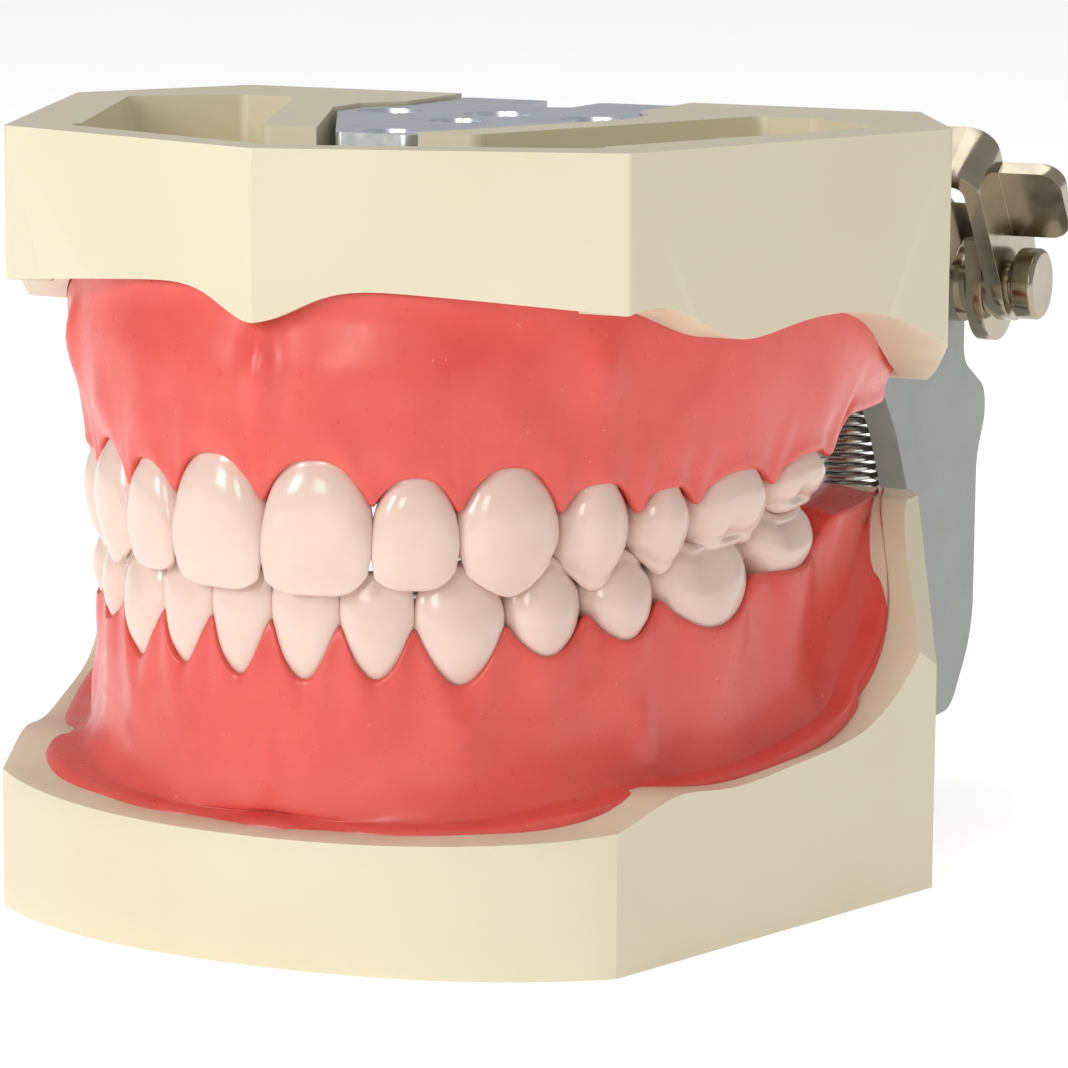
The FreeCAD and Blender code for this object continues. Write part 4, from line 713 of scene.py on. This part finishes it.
def upper_gum(material):
    """The upper gingiva: from its seat down the outer face, round the margins, up the inner
    face, over the palate and back across the top."""
    stations = gum_stations(UPPER_ARCH, GUM_REAR_Y)
    row = gum_row(stations, UPPER_ARCH, UPPER_TEETH, 36.8, 40.5, 2.6, -9.2)
    margin, base, outer, inner, lining = row.margin, row.base, row.outer, row.inner, row.lining
    swell, back = row.swell, row.back
    seat = reach_of_ellipse(GUM_SEAT_ARCH, row.x, row.y, row.nx, row.ny)
    seat = np.minimum(seat, SEAT_LIMIT)
    wall = row.wall + 0.15
    frenum = hump(stations, 0.0, 1.3)
    buccal = hump(stations, 27.5, 1.6)
    seat_z = UPPER_RIM_Z + SEAT_DEPTH
    high = base + (UPPER_RIM_Z - base) * 0.62
    mid = base * 0.7 + margin * 0.3 + (UPPER_RIM_Z - base) * 0.30
    controls = [
        level(seat, seat_z),
        level(seat, UPPER_RIM_Z - 1.5),
        level(seat * 0.62 + wall * 0.38 + 0.75 + 0.9 * frenum + 0.8 * buccal, high),
        level(seat * 0.25 + wall * 0.75 + 0.65 + 1.0 * swell + 0.45 * frenum, mid),
        level(outer * 0.6 + wall * 0.4 + 0.66 + 0.6 * swell, margin + 1.7),
        level(outer + 0.62, margin + 0.65),
        level(outer + 0.38, margin + 0.12),
        level(outer - 0.1, margin + 0.05),
        level(outer - 0.9, margin + 0.5 * (1 - back)),
        level((outer + inner) / 2, margin + 0.9 * (1 - back) - 0.5 * back),
        level(inner + 0.9, margin + 0.2 * (1 - back)),
        level(inner + 0.05, margin - 0.2),
        level(inner - 0.5, margin - 0.05),
        level((inner + lining) / 2 - 1.0, margin + 1.2),
        level(lining - 2.2, base + 4.5),
        level(lining - 5.0, base + 8.5),
    ]
    rows = spline_levels(controls, [2, 4, 5, 5, 4, 4, 4, 3, 4, 4, 4, 4, 4, 5, 6])
    points = stand_up(rows, row)
    vault = palate(points[-1], stations, seat_z - VAULT_DEPTH)
    top = []
    for k in range(TOP_ROWS):
        across = vault[-1] * (1 - k / TOP_ROWS) + points[0] * (k / TOP_ROWS)
        across[:, 2] = seat_z
        top.append(across)
    points = np.concatenate([points, vault, np.array(top)])
    return close_gum("upper_gum", points, material, "upper_jaw", "upper_gingiva")


# The lower gum's border on the base: distance from the midline, distance from the front tip,
# and height, from the front round to the heel.
LOWER_BORDER = ((0, 3.9, 11.7), (1.6, 3.9, 11.6), (3.2, 3.6, 11.4), (6.5, 3.4, 11.3),
                (10, 3.5, 11.3), (13.4, 4.4, 11.4), (17, 5.9, 11.5), (20, 7.3, 11.7),
                (22.8, 9.2, 12.0), (25.1, 11.9, 12.6), (26.5, 15.2, 13.3), (26.7, 17.8, 13.4),
                (26.9, 20.2, 13.5), (28.2, 22.4, 13.4), (29.9, 25.0, 13.6), (31.4, 29.5, 13.9),
                (32.4, 35.5, 15.0), (33.4, 40.6, 16.3), (34.8, 43.6, 18.4), (35.4, 46.2, 21.0),
                (35.2, 48.6, 23.4), (34.2, 51.0, 26.2), (32.8, 53.4, 29.0), (31.6, 56.0, 31.3),
                (30.6, 59.2, 32.0))


# The lower gum's socket in the base: its plan curve, and how it closes in behind the last molar.
LOWER_SEAT_ARCH = Arch(35.7, 47.0, 2.3)
SEAT_WIDEST = 3.6
SEAT_CLOSES_AT = 55.0         # distance walked from the midline
SEAT_CLOSING = 0.34
SEAT_NARROWEST = 0.4


def socket_reach(stations, x, y, nx, ny):
    """How far outwards of the arch the base's socket reaches at each station."""
    closing = SEAT_WIDEST - SEAT_CLOSING * (np.abs(stations) - SEAT_CLOSES_AT)
    reach = np.minimum(reach_of_ellipse(LOWER_SEAT_ARCH, x, y, nx, ny), closing)
    return np.clip(reach, SEAT_NARROWEST, SEAT_WIDEST)


BORDER_POINTS = 1200
BORDER_WINDOW = (-4, 9)       # the border is looked for this far outwards of the arch
BORDER_SOFT = 0.5
FAR_OFF = 99


def border_offsets(stations, x, y, nx, ny):
    """How far outwards of the arch the border lies at each station, and its height there."""
    plan = np.array(LOWER_BORDER)
    steps = np.linspace(0, len(plan) - 1, BORDER_POINTS)
    dense = np.stack([curve_through(np.arange(len(plan)), plan[:, k], steps) for k in range(3)], 1)
    keep = stations >= 0
    d, px, py, ox, oy = stations[keep], x[keep], y[keep], nx[keep], ny[keep]
    offset, height = np.empty(len(d)), np.empty(len(d))
    for k in range(len(d)):
        away_x, away_y = dense[:, 0] - px[k], dense[:, 1] - py[k]
        along = np.abs(away_x * oy[k] - away_y * ox[k])
        out = away_x * ox[k] + away_y * oy[k]
        near = (out > BORDER_WINDOW[0]) & (out < BORDER_WINDOW[1])
        along = np.where(near, along, FAR_OFF)
        best = int(np.argmin(along))
        offset[k], height[k] = out[best], dense[best, 2]
    return (np.interp(np.abs(stations), d, smooth_along(offset, BORDER_SOFT)),
            np.interp(np.abs(stations), d, smooth_along(height, BORDER_SOFT)))


SIDE_STARTS_AT = 26.0         # from here back the border never lies inside the socket
SIDE_SOFT = 1.2
SIDE_SHIFT_LIMIT = 3.0
CORNER_LIFT = 0.5             # the border is this much higher at the base's front corners
CORNER_AT = 22.5
CORNER_SPREAD = 4.0
FLARE_LIMIT = 6.0


def lower_gum(material):
    """The lower gingiva: from its socket over the border, up the outer face, round the margins
    and down the inner face."""
    stations = gum_stations(LOWER_ARCH, LOWER_GUM_REAR_Y)
    row = gum_row(stations, LOWER_ARCH, LOWER_TEETH, 28.0, 32.2, 2.0, -9.4)
    margin, base, outer, inner, lining = row.margin, row.base, row.outer, row.inner, row.lining
    swell, back = row.swell, row.back
    border, border_z = border_offsets(stations, row.x, row.y, row.nx, row.ny)
    reach = socket_reach(stations, row.x, row.y, row.nx, row.ny)
    side = smooth_along(np.where(np.abs(stations) > SIDE_STARTS_AT, 1.0, 0.0), SIDE_SOFT)
    border = border + side * np.clip(reach - border, 0, SIDE_SHIFT_LIMIT)
    border_z = border_z + CORNER_LIFT * hump(stations, CORNER_AT, CORNER_SPREAD)
    flange = np.maximum(border, reach)
    wall = row.wall + 0.1
    frenum = hump(stations, 0.0, 1.0)
    buccal = hump(stations, 31.5, 1.3)
    seat_z = LOWER_RIM_Z - SEAT_DEPTH
    flare = np.clip(border - wall, 0, FLARE_LIMIT)
    low = border_z + (base - border_z) * 0.27 + 0.8 * frenum + 1.0 * buccal
    mid = (base * 0.7 + margin * 0.3) * 0.62 + border_z * 0.38
    controls = [
        level(flange - 0.4, seat_z),
        level(flange + 0.3, border_z - 0.8),
        level(border + 0.2, border_z - 0.2),
        level(border - 0.3, border_z + 0.12),
        level(wall + 0.75 * flare - 0.3, border_z + 0.25),
        level(wall + 0.40 * flare, border_z + 0.7 + 0.6 * frenum + 0.5 * buccal),
        level(wall + 0.12 * flare + 0.2 + 0.5 * frenum + 0.5 * buccal, low),
        level(wall + 0.45 + 0.9 * swell + 0.2 * frenum, mid),
        level(outer * 0.5 + wall * 0.5 + 0.5 + 0.4 * swell, margin - 1.8),
        level(outer * 0.8 + wall * 0.2 + 0.5, margin - 0.6),
        level(outer + 0.36, margin - 0.1),
        level(outer - 0.1, margin - 0.05),
        level(outer - 0.9, margin - 0.5 * (1 - back)),
        level((outer + inner) / 2, margin - 0.9 * (1 - back) + 0.5 * back),
        level(inner + 0.9, margin - 0.2 * (1 - back)),
        level(inner + 0.05, margin + 0.2 * (1 - back)),
        level(inner - 0.5, margin - 0.2 * back),
        level((inner + lining) / 2 - 0.9, margin - 1.5),
        level(lining - 1.3, (base + LOWER_RIM_Z) / 2),
        level(lining - 2.2, LOWER_RIM_Z + 2.2),
        level(lining - 2.6, LOWER_RIM_Z - 0.8),
    ]
    rows = spline_levels(controls,
                         [1, 2, 3, 4, 4, 5, 5, 5, 4, 4, 4, 3, 4, 4, 4, 4, 4, 4, 4, 4])
    points = stand_up(rows, row)
    last = points[-1].copy()
    last[:, 2] = seat_z
    points = np.concatenate([points, last[None]])
    return close_gum("lower_gum", points, material, "lower_jaw", "lower_gingiva")


# ---- stage and light ----
FLOOR_HALF_SIDE = 6.0
FLOOR_GLOW = 0.56
WORLD_LIGHT = 0.39
LIGHT_TARGET = (0, -0.01, 0.035)
WARM_WHITE = (1, 0.99, 0.97)
WHITE = (1, 1, 1)


def area_light(name, at, size, power, colour):
    """A rectangular light aimed at the middle of the model."""
    data = bpy.data.lights.new(name, "AREA")
    data.shape = "RECTANGLE"
    data.size, data.size_y = size
    data.energy = power
    data.color = colour
    lamp = bpy.data.objects.new(name, data)
    bpy.context.scene.collection.objects.link(lamp)
    lamp.location = at
    lamp.rotation_mode = "QUATERNION"
    lamp.rotation_quaternion = (Vector(LIGHT_TARGET) - Vector(at)).to_track_quat("-Z", "Y")


def make_stage():
    """A pale floor, an even white surround and three soft lights."""
    material, nodes, links, principled = shader("pale_floor")
    cloud = noise(nodes, links, 0.02, 2.0)
    links.new(ramp(nodes, links, cloud, [(0.3, (0.86, 0.86, 0.86)), (0.7, (0.88, 0.88, 0.88))]),
              principled.inputs["Base Color"])
    principled.inputs["Roughness"].default_value = 0.9
    principled.inputs["Emission Color"].default_value = WHITE + (1,)
    principled.inputs["Emission Strength"].default_value = FLOOR_GLOW
    mesh = bpy.data.meshes.new("floor")
    side = FLOOR_HALF_SIDE
    corners = [(-side, -side, 0), (side, -side, 0), (side, side, 0), (-side, side, 0)]
    mesh.from_pydata(corners, [], [(0, 1, 2, 3)])
    mesh.materials.append(material)
    floor = bpy.data.objects.new("floor", mesh)
    bpy.context.scene.collection.objects.link(floor)
    world = bpy.data.worlds.new("studio")
    bpy.context.scene.world = world
    world.use_nodes = True
    nodes, links = world.node_tree.nodes, world.node_tree.links
    soft = nodes["Background"]
    soft.inputs["Color"].default_value = WHITE + (1,)
    soft.inputs["Strength"].default_value = WORLD_LIGHT
    white = nodes.new("ShaderNodeBackground")
    white.inputs["Color"].default_value = WHITE + (1,)
    white.inputs["Strength"].default_value = 1.0
    path = nodes.new("ShaderNodeLightPath")
    mix = nodes.new("ShaderNodeMixShader")
    links.new(path.outputs["Is Camera Ray"], mix.inputs[0])
    links.new(soft.outputs[0], mix.inputs[1])
    links.new(white.outputs[0], mix.inputs[2])
    links.new(mix.outputs[0], nodes["World Output"].inputs["Surface"])
    area_light("key_left", (-0.45, -0.85, 0.42), (0.28, 0.42), 3.4, WARM_WHITE)
    area_light("key_right", (0.12, -0.97, 0.40), (0.22, 0.34), 1.5, WARM_WHITE)
    area_light("top", (0.0, 0.15, 0.8), (0.5, 0.5), 1.5, WHITE)


make_camera()
make_stage()
bpy.context.scene.view_settings.view_transform = "Standard"
CREAM = cream_plastic()
GUM = gum_resin()
TOOTH = tooth_resin()
PAINT = arm_paint()
PLATE = metal("plate_steel", srgb(214, 222, 233), srgb(228, 235, 244), 0.28, 0.4, 1.0, (1, .15, 1))
PLATING = metal("nickel_plating", srgb(166, 156, 136), srgb(186, 176, 156), 0.12, 0.24, 0.5)
WIRE = metal("spring_wire", srgb(190, 186, 180), srgb(210, 206, 200), 0.16, 0.28, 1.5)
SCREW = metal("screw_steel", srgb(160, 160, 158), srgb(184, 184, 182), 0.2, 0.34, 1.2)

# ---- springs, edges and finishes of the CAD nodes ----
SPRING_X = 21.0
SPRING_Y = 77.9
SPRING_Z = (7.25, 49.25)
SPRING_RADIUS = 2.8
WIRE_RADIUS = 0.28
SPRING_TURNS = 50
TURN_STEPS = 20
WIRE_SIDES = 8
CLOSED_TURNS = 1.5            # at each end
CLOSED_PITCH = 0.7            # of the even pitch


def make_spring(word, side, material):
    """A close-wound wire helix between the jaws."""
    count = SPRING_TURNS * TURN_STEPS + 1
    turn = np.linspace(0, 2 * math.pi * SPRING_TURNS, count)
    low, high = SPRING_Z[0] + WIRE_RADIUS, SPRING_Z[1] - WIRE_RADIUS
    share = np.linspace(0, 1, count)
    lead = CLOSED_TURNS / SPRING_TURNS
    climb = lead * CLOSED_PITCH
    climbed = np.interp(share, (0, lead, 1 - lead, 1), (0, climb, 1 - climb, 1))
    spine = np.stack([side * SPRING_X + SPRING_RADIUS * np.cos(turn),
                      SPRING_Y + SPRING_RADIUS * np.sin(turn),
                      low + (high - low) * climbed], axis=1)
    round_wire = np.arange(WIRE_SIDES) * 2 * math.pi / WIRE_SIDES
    outwards = np.stack([np.cos(turn), np.sin(turn), np.zeros(count)], axis=1)
    upwards = np.array([0.0, 0.0, 1.0])
    rings = (spine[:, None] + WIRE_RADIUS * (np.cos(round_wire)[None, :, None] * outwards[:, None]
                                             + np.sin(round_wire)[None, :, None] * upwards))
    faces = grid_faces(count, WIRE_SIDES, closed_columns=True)
    faces.append(tuple(range(WIRE_SIDES)))
    faces.append(tuple((count - 1) * WIRE_SIDES + k for k in range(WIRE_SIDES)))
    name = "spring_" + word
    piece = make_mesh(name + "_wire", rings.reshape(-1, 3), faces, material)
    outward(piece)
    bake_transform(piece)
    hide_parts(name)


# Rounded edges of the CAD nodes that show, in mm.
EDGE_ROUNDING = {"upper_jaw_base": 0.7, "lower_jaw_base": 0.7, "upper_mounting_plate": 0.25,
                 "lower_mounting_plate": 0.25, "side_arm_left": 0.2, "side_arm_right": 0.2,
                 "lever_yoke": 0.2, "hinge_shaft": 0.2, "hinge_shaft_cap": 0.25,
                 "hinge_bracket": 0.2}
SHARP_ANGLE = math.radians(32)
WELD_DISTANCE = 1e-6


def round_edges():
    """Rounds the sharp edges of the shown CAD nodes with modifiers."""
    for name, radius in EDGE_ROUNDING.items():
        node = frame["nodes"][name]
        weld = node.modifiers.new("weld", "WELD")
        weld.merge_threshold = WELD_DISTANCE
        rounding = node.modifiers.new("rounding", "BEVEL")
        rounding.width = radius / 1000
        rounding.segments = 3
        rounding.limit_method = "ANGLE"
        rounding.angle_limit = SHARP_ANGLE
        rounding.harden_normals = True


SLOT_MATERIALS = {"base_plastic": CREAM, "gum": GUM, "tooth_resin": TOOTH, "arm_paint": PAINT,
                  "plate_steel": PLATE, "plated_steel": PLATING, "spring_steel": WIRE,
                  "screw_steel": SCREW}


def dress_cad_nodes():
    """Gives each CAD node the material of its slot."""
    slots = {entry["node"]: entry["material_slot"] for entry in frame["record"]["subparts"]}
    for name, node in frame["nodes"].items():
        material = SLOT_MATERIALS[slots[name]]
        if not node.data.materials:
            node.data.materials.append(material)
        for holder in node.material_slots:
            holder.material = material


dress_cad_nodes()
make_teeth("upper", UPPER_ARCH, UPPER_TEETH, TOOTH)
make_teeth("lower", LOWER_ARCH, LOWER_TEETH, TOOTH)
upper_gum(GUM)
lower_gum(GUM)
make_spring("left", 1, WIRE)
make_spring("right", -1, WIRE)
round_edges()
